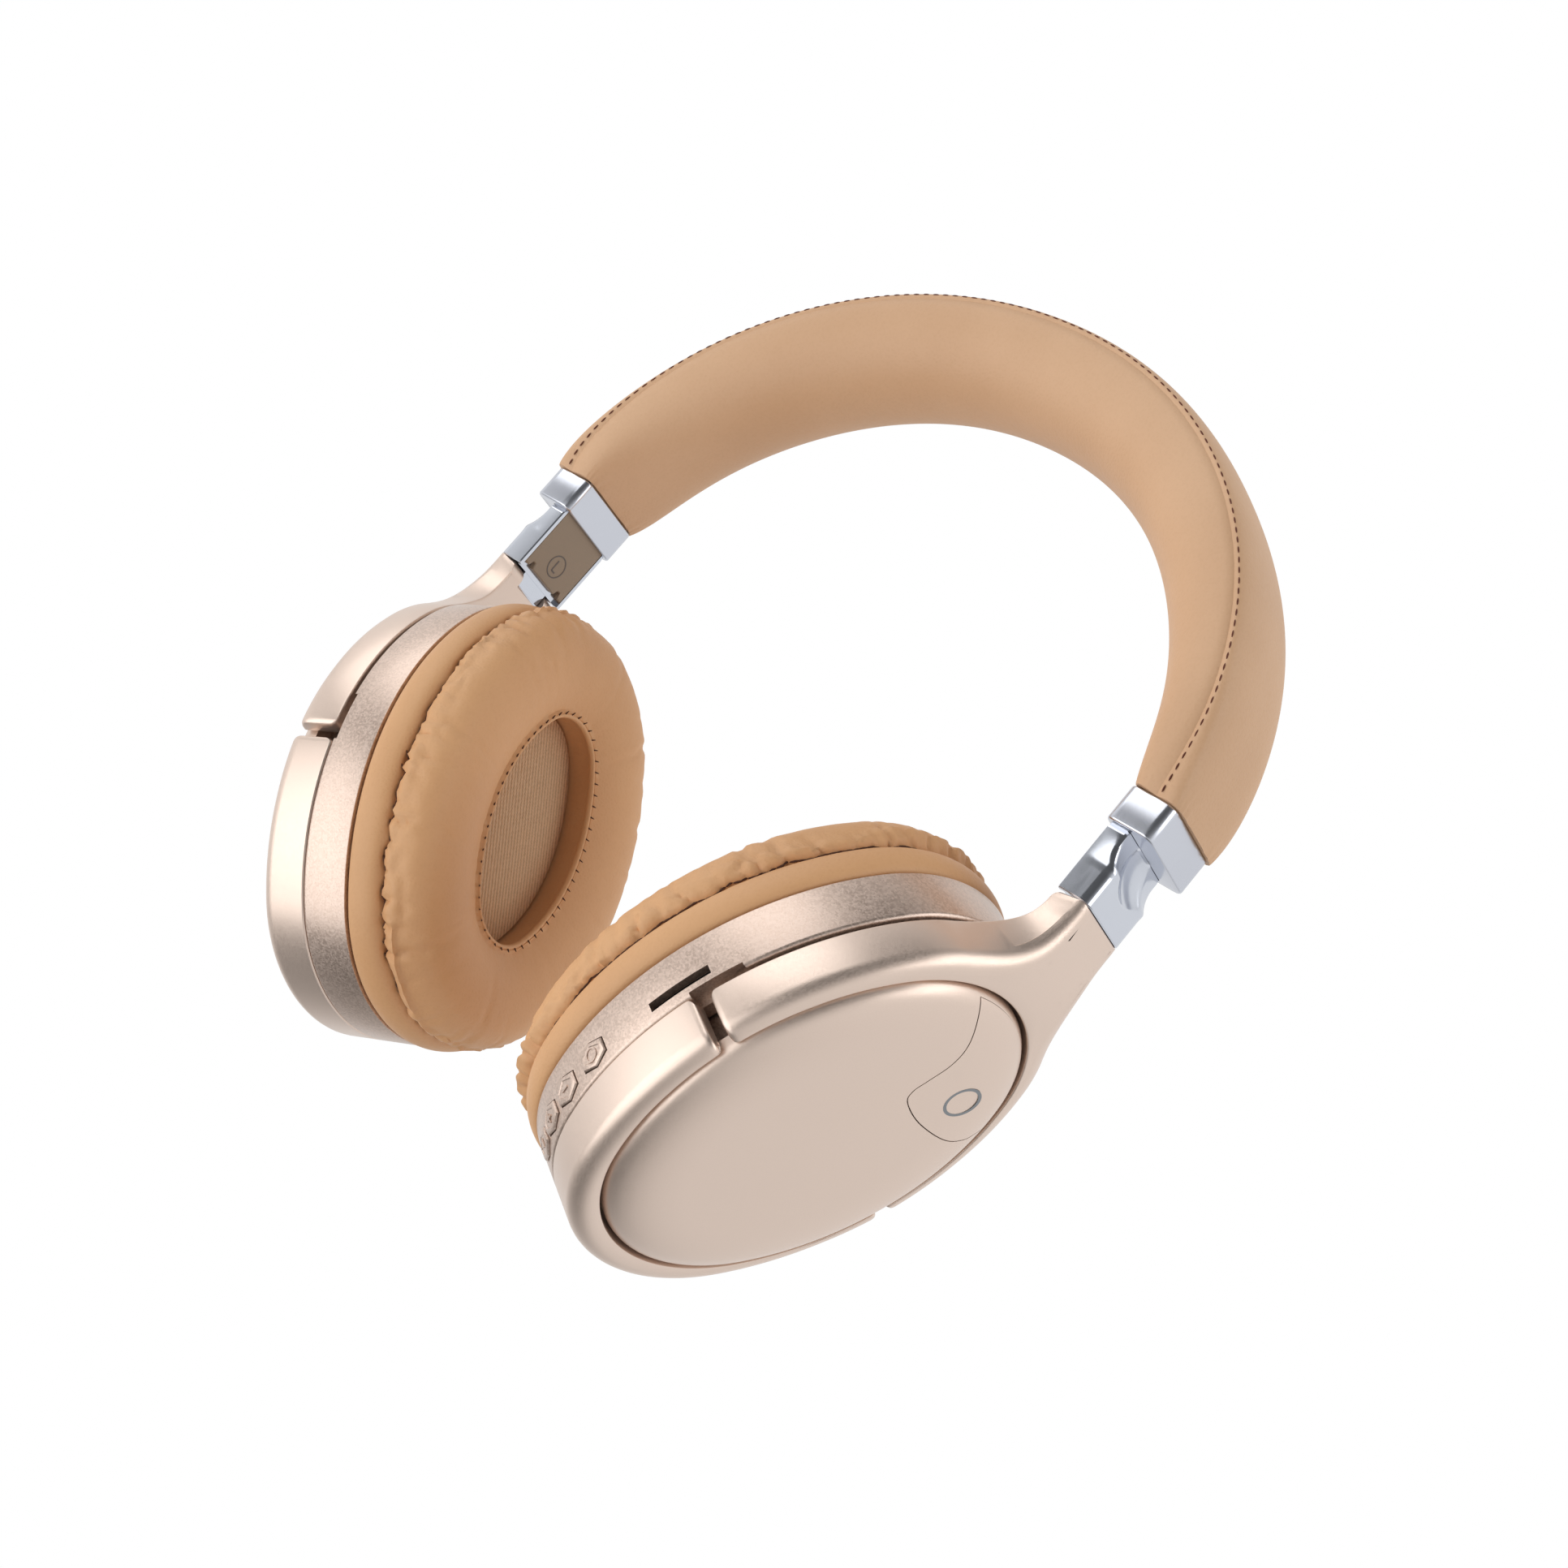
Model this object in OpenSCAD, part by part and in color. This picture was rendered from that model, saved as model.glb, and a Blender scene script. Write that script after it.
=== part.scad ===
// Over-ear headphones: a padded headband with a steel spring, two sliding yokes that
// fold inwards, and two cups that tilt between the arms of their yokes.
// +Z is up, +X is the wearer's right and +Y the wearer's front, in millimetres.
// The origin is on the underside of the headband's crown, where it rests on the head.

/* [Headband] */
// Height of the crown's underside above the top of the collars
crown_rise = 58.2; // [57:0.2:60]
// Thickness of the padding below the seam at the crown
pad_depth = 17.2; // [15:0.2:18]
// Thickness of the cover above the seam at the crown
cover_depth = 3.7; // [3:0.1:5]
// Width of the headband at the crown
band_w = 30.4; // [28:0.2:33]
// Width of the headband where it meets the collars
band_end_w = 22.4; // [22.4:0.2:24]

/* [Collars and sliders] */
// Distance from the middle plane to the middle of a collar
collar_x = 83.7; // [83.4:0.1:84]
// Width of a collar, front to back
collar_w = 21; // [20.6:0.1:22]
// Thickness of a collar, across the band
collar_t = 10.9; // [10.8:0.1:12]
// Height of a collar
collar_h = 7.7; // [7:0.1:8]
// Width of the sliding tongue
tongue_w = 17.6; // [17:0.1:17.6]
// Thickness of the tongue where it enters the collar
tongue_t = 4.6; // [4.4:0.1:4.7]
// Thickness of the slider where it meets the yoke
slider_t = 7.3; // [7:0.1:7.5]
// Height of the slider below the collars
slider_drop = 15.3; // [15:0.1:17]
// How far the slider draws out
slide_travel = 22; // [18:1:22]

/* [Cups] */
// Width of a cup
cup_w = 75.6; // [74:0.2:78]
// Height of a cup
cup_h = 94.6; // [92:0.2:97]
// Width of the outer cover
disc_w = 67.4; // [66:0.2:67.6]
// Height of the outer cover
disc_h = 81.6; // [80:0.2:82]
// Lean of a cup towards the head at its bottom, in degrees
cup_lean = 24.2; // [24:0.1:24.4]
// Distance from the middle plane to the middle of a cup's rim
cup_x = 47; // [46.8:0.1:47.2]
// Depth of the middle of a cup's rim below the collars' top
cup_drop = 73.2; // [73:0.1:73.4]
// Depth of the cup's barrel
barrel_depth = 10.4; // [10:0.1:10.5]
// Height of the yoke's outer face over the cup's rim
ring_top = 21.5; // [21:0.1:22]
// Thickness of the ear cushion
cushion_t = 19; // [17:0.5:20]
// Width of the ear cushion's padded ring
cushion_w = 21.3; // [20:0.1:21.5]

/* [Controls] */
// Length of a button along the rim
button_l = 6.2; // [5.4:0.1:6.6]
// Width of a button across the barrel
button_w = 5.2; // [4.6:0.1:5.4]
// Length of the card slot
slot_l = 12.5; // [11.5:0.1:13]
// Diameter of the audio jack's bore
jack_d = 3.6; // [3.5:0.02:3.7]
// Depth of the audio jack's bore
jack_depth = 14; // [13:0.5:14.5]

/* [Hidden] */
$fn = 64;
sides = [["left", -1], ["right", 1]];
gap = 0.3;                      // parting gap between pieces on different bodies
collar_z = -crown_rise;         // top of the collars
slider_x = collar_x - 4.3;      // inner face of the sliders and the yokes' stems
tongue_out = slider_x + tongue_t;
slider_out = slider_x + slider_t;
parting_z = collar_z - collar_h - slider_drop;
hinge = [slider_x + 2.9, parting_z - 3];
hinge_r = 2.9;
knuckle_w = 9;
pin_r = 1.25;
fit = 0.05;                     // radial clearance of a running pin
tongue_rise = 20;               // tongue inside the headband when it is pushed in
strip_rise = 26;                // steel strip inside the headband
skin = 1.2;                     // thickness of the slider's inner cover

seat = 11.3;                    // inner face of the yoke's arms over the cup's rim
arm_end = -0.3;                 // lower end of the arms
arc_end = -3.2;                 // upper end of the lower arc
pivot = [16, 4.5];              // tilt axis: depth over the rim, height over the middle
plate_z = 8.8;
core_top = 18.6;
ring_gap = 0.7;                 // between the outer cover and the yoke's ring
dome_top = 24.6;                // top of the outer cover over the cup's rim
// distance in from the cover's edge, and drop below its top
pillow_profile = [[0, 4.2], [0.8, 2.7], [2.6, 1.5], [6, 0.6], [12, 0]];
panel_floor = 21.9;             // seat of the inset panel
screw_y = 22;
screw_z = 30;
jack_angle = 262;
port_angle = 284;
slot_angle = 184.7;
port_z = 5.5;                   // depth of the jack and the charging port
slot_z = 7.2;
button_z = 6.1;
button_angles = [205.5, 214.6, 226.4, 239];
button_names = ["power_button", "volume_down_button", "volume_up_button", "mode_button"];
button_out = 0.5;               // how far a button stands out of the barrel

// ---------- the headband's curve ----------

// half of the band from the crown (t = 0) to the collar (t = 1), a Bezier curve
band_x = [0, 54.6, collar_x + 2.9, collar_x + 0.8];
band_z = [pad_depth, pad_depth, collar_z + 32.8, collar_z];
steps = 24;

function mix(a, b, k) = a + (b - a) * k;
function bezier(p, t) =
    pow(1 - t, 3) * p[0] + 3 * pow(1 - t, 2) * t * p[1] + 3 * (1 - t) * t * t * p[2] + pow(t, 3) * p[3];
function slope(p, t) =
    pow(1 - t, 2) * (p[1] - p[0]) + 2 * (1 - t) * t * (p[2] - p[1]) + t * t * (p[3] - p[2]);
function unit2(v) = v / norm(v);
function taper(t) = pow(t, 3.8);
function band_half_w(t) = mix(band_w, band_end_w + 3 * (1 - pow(t, 24)), taper(t)) / 2;
function band_over(t) = mix(cover_depth, 5.4, taper(t));
function band_under(t) = mix(pad_depth, 6, taper(t));
function squareness(t) = 2.2 + 3.8 * pow(t, 8);

// a point of the section at t: y across the band, r above the seam line
function band_point(t, y, r) =
    let (
        s = t < 0 ? -1 : 1,
        u = abs(t),
        d = unit2([slope(band_x, u), slope(band_z, u)]),
        x = bezier(band_x, u) - d[1] * r,
        z = bezier(band_z, u) + d[0] * r)
    [s * x, y, z];

// one side of the section's outline, over (k = 1) or under (k = -1) the seam line
function bulge(t, k, n = 20) =
    let (u = abs(t), w = band_half_w(u), h = k > 0 ? band_over(u) : band_under(u), e = squareness(u))
    [for (i = [0 : n]) let (a = 180 * i / n, c = cos(a), s = sin(a))
        [w * sign(c) * pow(abs(c), 2 / e), k * h * pow(max(s, 0), 2 / e)]];

// a closed solid through the same section at every station along the band
module band_sweep(stations, sections) {
    m = len(sections[0]);
    n = len(stations);
    points = [for (i = [0 : n - 1]) for (p = sections[i]) band_point(stations[i], p[0], p[1])];
    skin_faces = [for (i = [0 : n - 2]) for (j = [0 : m - 1])
        let (a = i * m + j, b = i * m + (j + 1) % m) each [[a, b, b + m], [a, b + m, a + m]]];
    first = [[for (j = [m - 1 : -1 : 0]) j]];
    last = [[for (j = [0 : m - 1]) (n - 1) * m + j]];
    polyhedron(points = points, faces = concat(skin_faces, first, last), convexity = 6);
}

function stations(reach) = [for (i = [-steps : steps]) reach * i / steps];

// ---------- shared shapes ----------

// side pieces are drawn on the right and mirrored for the left
module on_side(s) {
    if (s < 0)
        mirror([1, 0, 0]) children();
    else
        children();
}

// cup frame: X out of the cup, Y forward, Z up along the cup
module in_cup(s) {
    on_side(s) translate([cup_x, 0, collar_z - cup_drop]) rotate([0, cup_lean, 0]) children();
}

// turns a drawing in X and Y, raised along Z, to face out of the cup
module face_out() {
    rotate([90, 0, 90]) children();
}

// An oval w wide and h high is four arcs. Its ends and sides meet on lines that rise 3
// for each 4 across, so each arc's radius and centre are plain fractions of w and h.
function end_off(w, h) = 0.75 * (h - w);
function end_r(w, h) = h / 2 - end_off(w, h);
function side_off(w, h) = h - w;
function side_r(w, h) = w / 2 + side_off(w, h);

module end_tile(w, h) {
    polygon([[0, end_off(w, h)], [80, end_off(w, h) + 60], [-80, end_off(w, h) + 60]]);
}
module side_tile(w, h) {
    polygon([
        [0, -end_off(w, h)], [80, -end_off(w, h) - 60], [80, end_off(w, h) + 60], [0, end_off(w, h)]]);
}

// the oval, grown by d
module oval(w, h, d) {
    for (k = [0, 180]) rotate(k) {
        intersection() {
            translate([0, end_off(w, h)]) circle(r = end_r(w, h) + d);
            end_tile(w, h);
        }
        intersection() {
            translate([-side_off(w, h), 0]) circle(r = side_r(w, h) + d, $fn = 128);
            side_tile(w, h);
        }
    }
}
module cup_oval(d) { oval(cup_w, cup_h, d); }
module disc_oval(d) { oval(disc_w, disc_h, d); }

// carries a profile round the oval: X of the profile is the distance from the oval
module round_oval(w, h) {
    for (k = [0, 180]) rotate(k) {
        intersection() {
            translate([0, end_off(w, h)])
                rotate_extrude(angle = 200, start = -10, $fn = 96) translate([end_r(w, h), 0]) children();
            translate([0, 0, -50]) linear_extrude(100) end_tile(w, h);
        }
        intersection() {
            translate([-side_off(w, h), 0])
                rotate_extrude(angle = 100, start = -50, $fn = 128) translate([side_r(w, h), 0]) children();
            translate([0, 0, -50]) linear_extrude(100) side_tile(w, h);
        }
    }
}
module round_cup() { round_oval(cup_w, cup_h) children(); }

// stands on the cup's side where its outward direction makes this angle
module on_rim(angle) {
    on_end = abs(cos(angle)) < 0.8;
    centre = on_end ? [0, end_off(cup_w, cup_h) * sign(sin(angle))]
        : [-side_off(cup_w, cup_h) * sign(cos(angle)), 0];
    translate(centre) rotate(angle)
        translate([on_end ? end_r(cup_w, cup_h) : side_r(cup_w, cup_h), 0]) children();
}

// points of an arc about c, from angle a to angle b
function arc(c, r, a, b, n = 6) =
    [for (i = [0 : n]) let (k = mix(a, b, i / n)) [c[0] + r * cos(k), c[1] + r * sin(k)]];

module rounded_box2d(w, h, r) {
    polygon(concat(
        arc([r, r], r, 180, 270), arc([w - r, r], r, 270, 360),
        arc([w - r, h - r], r, 0, 90), arc([r, h - r], r, 90, 180)));
}

// a cylinder along Y, centred on the XZ plane
module along_y(r, l) {
    rotate([90, 0, 0]) cylinder(r = r, h = l, center = true);
}

module screw(r, l, head_r, head_h) {
    cylinder(r = r, h = l);
    difference() {
        translate([0, 0, -head_h]) cylinder(r = head_r, h = head_h);
        for (a = [0, 90])
            rotate(a) translate([0, 0, -head_h + 0.3]) cube([head_r * 1.1, 0.45, 0.7], center = true);
    }
}

// ---------- headband ----------

guide_wall = 0.6;
guide_half_w = tongue_w / 2 + 0.1 + guide_wall;
spring_w = 14;
spring_t = 1;
spring_reach = 0.757;           // the spring's ends, along half of the band's curve
lead_r = 0.8;
lead_y = 8.9;

// outside of a slider guide: a channel for the tongue, and a block above it that
// the steel strip slides into from below and the spring is pressed into from above
module guide_body(grow) {
    translate([slider_x - 0.1 - grow, -guide_half_w - grow, collar_z - grow])
        cube([tongue_t + 0.2 + guide_wall + 2 * grow, 2 * (guide_half_w + grow), tongue_rise + 1.2 + 2 * grow]);
    translate([slider_x - 2.2 - grow, -8.1 - grow, collar_z + tongue_rise + 0.8 - grow])
        cube([5.3 + 2 * grow, 16.2 + 2 * grow, strip_rise - tongue_rise + 0.8 + 2 * grow]);
}

// trims the end of the band flat on the top of its collar
module collar_cut() {
    translate([collar_x - 15, -20, collar_z - 5]) cube([30, 40, 5.02]);
}

module headband_cover() {
    s = stations(1);
    color("tan") difference() {
        band_sweep(s, [for (t = s) bulge(t, 1)]);
        for (side = sides) on_side(side[1]) {
            guide_body(fit);
            collar_cut();
        }
    }
}

// grooves in the top of the pad for the spring and the lead, from back to front
pad_grooves = [
    [-spring_w / 2 - 0.2, 0], [-spring_w / 2 - 0.2, -spring_t - 0.2],
    [spring_w / 2 + 0.2, -spring_t - 0.2], [spring_w / 2 + 0.2, 0],
    [lead_y - 1, 0], [lead_y - 1, -2], [lead_y + 1, -2], [lead_y + 1, 0]];

module headband_pad() {
    s = stations(1);
    color("burlywood") difference() {
        band_sweep(s, [for (t = s) concat(bulge(-t, -1), pad_grooves)]);
        for (side = sides) on_side(side[1]) {
            guide_body(fit);
            collar_cut();
        }
    }
}

function spring_section(k) = [
    [spring_w / 2 + k, -0.1 + k], [-spring_w / 2 - k, -0.1 + k],
    [-spring_w / 2 - k, -spring_t - 0.1 - k], [spring_w / 2 + k, -spring_t - 0.1 - k]];

module spring_band() {
    s = stations(spring_reach);
    color("silver") band_sweep(s, [for (t = s) spring_section(0)]);
}

module band_lead() {
    s = stations(0.65);
    color("dimgray") band_sweep(s, [for (t = s)
        [for (i = [0 : 7]) [lead_y + lead_r * cos(45 * i), -1 + lead_r * sin(45 * i)]]]);
}

module collar(s) {
    color("gainsboro") on_side(s) difference() {
        translate([collar_x - collar_t / 2, -collar_w / 2, collar_z - collar_h])
            linear_extrude(collar_h) rounded_box2d(collar_t, collar_w, 2);
        translate([slider_x - 0.1, -tongue_w / 2 - 0.1, collar_z - collar_h - 1])
            cube([tongue_t + 0.2, tongue_w + 0.2, collar_h + 2]);
    }
}

module slider_guide(s) {
    spring_end = band_point(spring_reach, 0, -0.6);
    up = -unit2([slope(band_x, spring_reach), slope(band_z, spring_reach)]);
    color("dimgray") on_side(s) difference() {
        guide_body(0);
        translate([slider_x - 1, -tongue_w / 2 - 0.1, collar_z - 1])
            cube([tongue_t + 1.1, tongue_w + 0.2, tongue_rise + 1.4]);
        translate([slider_x + skin - 0.1, -7.1, collar_z + tongue_rise])
            cube([1.2, 14.2, strip_rise - tongue_rise + 0.4]);
        translate(spring_end) rotate([0, atan2(up[0], up[1]), 0])
            translate([-0.62, -spring_w / 2 - 0.1, -0.1]) cube([1.24, spring_w + 0.2, 12]);
    }
}

// ---------- sliders ----------

strip_notches = 9;
module slider_strip(s) {
    h = strip_rise + collar_h + slider_drop - 4;
    color("lightsteelblue") on_side(s) difference() {
        translate([slider_x + skin, -7, collar_z + strip_rise - h]) cube([1, 14, h]);
        for (i = [0 : strip_notches - 1]) for (k = [-1, 1])
            translate([slider_x + skin + 0.5, k * 7, collar_z + strip_rise - 3 - i * slide_travel / 8])
                rotate([0, 90, 0]) cylinder(r = 0.7, h = 2, center = true);
    }
}

ramp_r = 9.2;
module slider_shell(s) {
    low = parting_z;
    ramp_z = collar_z - collar_h - 0.8;
    color("silver") on_side(s) difference() {
        union() {
            translate([slider_x, -tongue_w / 2, low])
                cube([tongue_t, tongue_w, collar_z + tongue_rise - low]);
            difference() {
                translate([slider_x, -tongue_w / 2 - 0.3, low])
                    cube([slider_t, tongue_w + 0.6, ramp_z - low]);
                translate([tongue_out + ramp_r, 0, ramp_z]) along_y(ramp_r, 30);
                translate([slider_out + 7.7, 0, ramp_z - 1.2]) sphere(r = 11.2);
            }
            translate([hinge[0] - 1.5, -knuckle_w / 2, hinge[1]]) cube([1.5 + hinge_r, knuckle_w, 3 + 0.1]);
            translate([hinge[0], 0, hinge[1]]) along_y(hinge_r, knuckle_w);
        }
        translate([slider_x - 1, -8.05, low + 1.2])
            cube([1 + skin + 1, 16.1, 80]);
        translate([hinge[0], 0, hinge[1]]) along_y(pin_r + fit, 20);
    }
}

module slider_cover(s) {
    mark_z = collar_z - collar_h - 9.6;
    color("rosybrown") on_side(s) difference() {
        translate([slider_x, -8, parting_z + 1.25])
            cube([skin, 16, collar_z + tongue_rise - parting_z - 1.25]);
        translate([slider_x, 0, mark_z]) rotate([0, 90, 0]) difference() {
            cylinder(r = 2.6, h = 0.3, center = true);
            cylinder(r = 2.35, h = 1, center = true);
        }
    }
}

// ---------- yokes ----------

// half-width of the stem, which flares into the ring
function stem_half(v) = 9.1 + 10.4 * pow(max(0, 61 - v) / 20, 2.6);
stem_levels = [64, 61, 58, 55, 52, 49.5, 47, 45, 43, 41];

module stem_front() {
    polygon(concat(
        [for (v = stem_levels) [-stem_half(v), v]],
        [for (i = [len(stem_levels) - 1 : -1 : 0]) [stem_half(stem_levels[i]), stem_levels[i]]]));
}

// side view of the stem, in X and Z
module stem_side() {
    top = parting_z - gap;
    polygon([
        [hinge[0], top], [slider_out, top], [slider_out, top - 13.2], [slider_out - 0.8, top - 16],
        [slider_out - 3.1, top - 21], [slider_out - 12.4, top - 16.8], [slider_out - 10.1, top - 11.7],
        [slider_x, top - 6.2], [slider_x, hinge[1]], [hinge[0], hinge[1]]]);
    translate(hinge) circle(r = hinge_r);
}

// blank that the yoke's arms and the lower arc are cut from, from this depth over the rim
module ring_blank(low) {
    round_r = 3.4;
    difference() {
        round_cup() polygon(concat(
            [[-9, low], [0, low]], arc([-round_r, ring_top - round_r], round_r, 0, 90, 5), [[-9, ring_top]]));
        translate([0, 0, -5]) linear_extrude(40) disc_oval(ring_gap);
    }
}

module yoke(s) {
    color("bisque") difference() {
        union() {
            in_cup(s) face_out() intersection() {
                ring_blank(seat);
                translate([-60, arm_end, 0]) cube([120, 80, 40]);
            }
            difference() {
                intersection() {
                    in_cup(s) translate([-20, 0, 0]) face_out() linear_extrude(60) stem_front();
                    on_side(s) translate([0, 30, 0]) rotate([90, 0, 0]) linear_extrude(60) stem_side();
                }
                in_cup(s) face_out() linear_extrude(40) disc_oval(ring_gap);
            }
        }
        on_side(s) {
            translate([hinge[0], 0, hinge[1]]) along_y(hinge_r + 0.25, knuckle_w + 0.5);
            translate([slider_x - 6, -knuckle_w / 2 - 0.25, hinge[1]])
                cube([6 + 2 * hinge_r + 0.25, knuckle_w + 0.5, 8]);
            translate([hinge[0], 0, hinge[1]]) along_y(pin_r, 15.6);
        }
        yoke_cover_blank(s);
        yoke_screw_bodies(s);
        in_cup(s) translate([pivot[0], 0, pivot[1]]) along_y(1.5, 71.6);
    }
}

// the plate let into the stem's inner face, below the fold hinge
module yoke_cover_blank(s) {
    on_side(s) translate([slider_x, 0, parting_z - gap - 6.2]) rotate([0, lean_in, 0])
        translate([-0.01, -6.8, -5.4]) cube([1.3, 13.6, 4.6]);
}
lean_in = atan2(2.8, 5.5);

module yoke_cover(s) {
    color("rosybrown") difference() {
        yoke_cover_blank(s);
        yoke_screw_bodies(s);
    }
}

module yoke_screw_bodies(s) {
    on_side(s) translate([slider_x, 0, parting_z - gap - 6.2]) rotate([0, lean_in, 0])
        for (y = [-4.6, 4.6])
            translate([0.6, y, -3.1]) rotate([0, 90, 0]) {
                cylinder(r = 0.7, h = 4.4);
                translate([0, 0, -0.61]) cylinder(r = 1.4, h = 0.61);
            }
}

module yoke_screws(s) {
    color("gray") yoke_screw_bodies(s);
}

module fold_pin(s) {
    color("silver") on_side(s) translate([hinge[0], 0, hinge[1]]) along_y(pin_r, 15.6);
}

module pivot_pins(s) {
    color("silver") in_cup(s) for (k = [0, 180])
        translate([pivot[0], 0, pivot[1]]) rotate([0, 0, k]) translate([0, 31.2, 0]) along_y(1.5, 9.2);
}

// ---------- cup housings ----------

module barrel(s) {
    color("antiquewhite") in_cup(s) difference() {
        union() {
            face_out() difference() {
                round_cup() polygon(concat(
                    [[-2, 0], [0, 0]], arc([-0.8, barrel_depth - 0.8], 0.8, 0, 90, 3), [[-2, barrel_depth]]));
                if (s > 0) control_openings();
            }
            face_out() translate([0, 0, plate_z]) linear_extrude(barrel_depth - plate_z) cup_oval(-1.5);
            face_out() translate([0, 0, barrel_depth - 0.1]) linear_extrude(core_top - barrel_depth + 0.1)
                difference() {
                    disc_oval(-4);
                    disc_oval(-5.6);
                }
            for (k = [-1, 1])
                translate([pivot[0], k * 27.8, pivot[1]]) cube([6, 3.2, 8], center = true);
            face_out() for (x = [-screw_y, screw_y]) for (y = [-screw_z, screw_z])
                translate([x, y, 2.4]) cylinder(r = 2.1, h = plate_z - 2.3);
        }
        translate([pivot[0], 0, pivot[1]]) along_y(1.5 + fit, 80);
        // room for the ends of the yoke's arms as the cup tilts
        for (k = [-1, 1])
            translate([barrel_depth, k * 36.6, 2]) cube([2.2, 9, 14], center = true);
        face_out() for (x = [-screw_y, screw_y]) for (y = [-screw_z, screw_z])
            translate([x, y, 1]) cylinder(r = 0.8, h = 6.4);
    }
}

// openings in the right barrel for the buttons, the card, the jack and the charger
module control_openings() {
    for (a = button_angles) on_rim(a)
        translate([-3, 0, button_z]) rotate([0, 90, 0]) linear_extrude(5) button_outline(0.2);
    on_rim(slot_angle) translate([-2, 0, slot_z]) cube([8, slot_l, 1.9], center = true);
    on_rim(jack_angle) translate([-4, 0, port_z]) rotate([0, 90, 0]) cylinder(r = 3, h = 8);
    on_rim(port_angle) translate([-2, 0, port_z]) cube([8, 8.4, 3.4], center = true);
}

module lower_arc(s) {
    color("bisque") in_cup(s) face_out() intersection() {
        ring_blank(barrel_depth);
        translate([-60, -80, 0]) cube([120, 80 + arc_end, 40]);
    }
}

// the solid under the outer cover's pillow surface, shrunk by d
module pillow(d) {
    inner = 16;
    top = dome_top - d;
    round_oval(disc_w, disc_h) polygon(concat(
        [[-inner, barrel_depth + 1.2], [-d, barrel_depth + 1.2]],
        [for (p = pillow_profile) [-p[0] - d, dome_top - p[1] - d]],
        [[-inner, top]]));
    translate([0, 0, barrel_depth + 1.2]) linear_extrude(top - barrel_depth - 1.2) disc_oval(-inner + 1);
}

// outline of the inset panel, seen from outside the right cup; it runs out past the edge
module panel_outline() {
    polygon([[-15, 42], [-8.5, 36.4], [-3, 31.5], [-0.6, 27], [0, 22], [0.4, 18.6], [2.6, 16.6],
        [10, 15.8], [19, 17.2], [23.4, 20], [26.5, 24.5], [40, 30], [40, 50], [-15, 50]]);
}

module panel_blank(s) {
    face_out() intersection() {
        pillow(0);
        translate([0, 0, panel_floor]) linear_extrude(10) panel_outline();
    }
}

module outer_cover(s) {
    color("linen") in_cup(s) difference() {
        face_out() difference() {
            pillow(0);
            translate([0, 0, 5]) linear_extrude(15.9) disc_oval(-1.8);
        }
        panel_blank(s);
        translate([pivot[0] - 2, 0, pivot[1]]) cube([10, 80, 5], center = true);
    }
}

module accent_panel(s) {
    color("antiquewhite") in_cup(s) panel_blank(s);
}

module baffle(s) {
    color("dimgray") in_cup(s) face_out() difference() {
        translate([0, 0, 0.4]) linear_extrude(2) cup_oval(-2.05);
        cylinder(r = 18.6, h = 10, center = true);
        for (x = [-screw_y, screw_y]) for (y = [-screw_z, screw_z])
            translate([x, y, -1]) cylinder(r = 0.8, h = 6);
    }
}

module cup_screws(s) {
    color("gray") in_cup(s) face_out() for (x = [-screw_y, screw_y]) for (y = [-screw_z, screw_z])
        translate([x, y, 0.4]) screw(0.8, 6, 1.6, 0.8);
}

// ---------- drivers and cushions ----------

module driver_basket(s) {
    color("black") in_cup(s) face_out() difference() {
        translate([0, 0, 2.4]) cylinder(r = 20.4, h = 3);
        translate([0, 0, 1]) cylinder(r = 18.9, h = 3.2);
        for (a = [0 : 45 : 315]) rotate(a) translate([14.5, 0, 2]) cylinder(r = 2, h = 6);
    }
}

module driver_magnet(s) {
    color("silver") in_cup(s) face_out() translate([0, 0, 5.4]) cylinder(r = 10.5, h = 3.2);
}

module diaphragm(s) {
    color("khaki") in_cup(s) face_out() difference() {
        union() {
            translate([0, 0, 3.6]) cylinder(r = 18.8, h = 0.5);
            intersection() {
                translate([0, 0, 9.2]) sphere(r = 8.2);
                translate([0, 0, 0]) cylinder(r = 9, h = 4.1);
            }
        }
        translate([0, 0, 9.6]) sphere(r = 8.2);
    }
}

module grille_cloth(s) {
    color("tan") in_cup(s) face_out() translate([0, 0, -9.4]) linear_extrude(0.8) cup_oval(-cushion_w - 0.2);
}

module cushion_ring(s) {
    color("dimgray") in_cup(s) face_out() difference() {
        round_cup() {
            translate([-cushion_w - 2.1, -1.4]) square([cushion_w - 0.9, 1.8]);
            translate([-cushion_w - 2.1, -2.8]) square([1.9, 1.6]);
        }
        for (x = [-screw_y, screw_y]) for (y = [-screw_z, screw_z])
            translate([x, y, -5]) cylinder(r = 2, h = 10);
    }
}

module ear_cushion(s) {
    low = -cushion_t;
    color("tan") in_cup(s) face_out() round_cup() polygon(concat(
        arc([-cushion_w + 7, low + 7], 7, 180, 270), arc([-7.2, low + 7], 7, 270, 360),
        [[-0.2, -0.2], [-2.7, -0.2], [-2.7, -1.7]], arc([-cushion_w + 5, -6.7], 5, 90, 180)));
}

// ---------- electronics ----------

module battery() {
    color("steelblue") in_cup(-1) face_out()
        translate([-18, -15, barrel_depth]) cube([36, 30, 5.2]);
}

module circuit_board() {
    color("darkgreen") in_cup(1) face_out() translate([0, 0, barrel_depth]) {
        linear_extrude(1.2) intersection() {
            disc_oval(-6);
            square([50, 60], center = true);
        }
        translate([-7, -6, 1.1]) cube([12, 12, 1.3]);
        translate([8, 10, 1.1]) cube([6, 5, 1.1]);
    }
}

module card_reader() {
    color("dimgray") in_cup(1) face_out() on_rim(slot_angle) difference() {
        translate([-15.2, -7.2, slot_z - 1.4]) cube([12.5, 14.4, 2.8]);
        translate([-14, -slot_l / 2, slot_z - 0.5]) cube([13.1, slot_l, 1]);
    }
}

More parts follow.
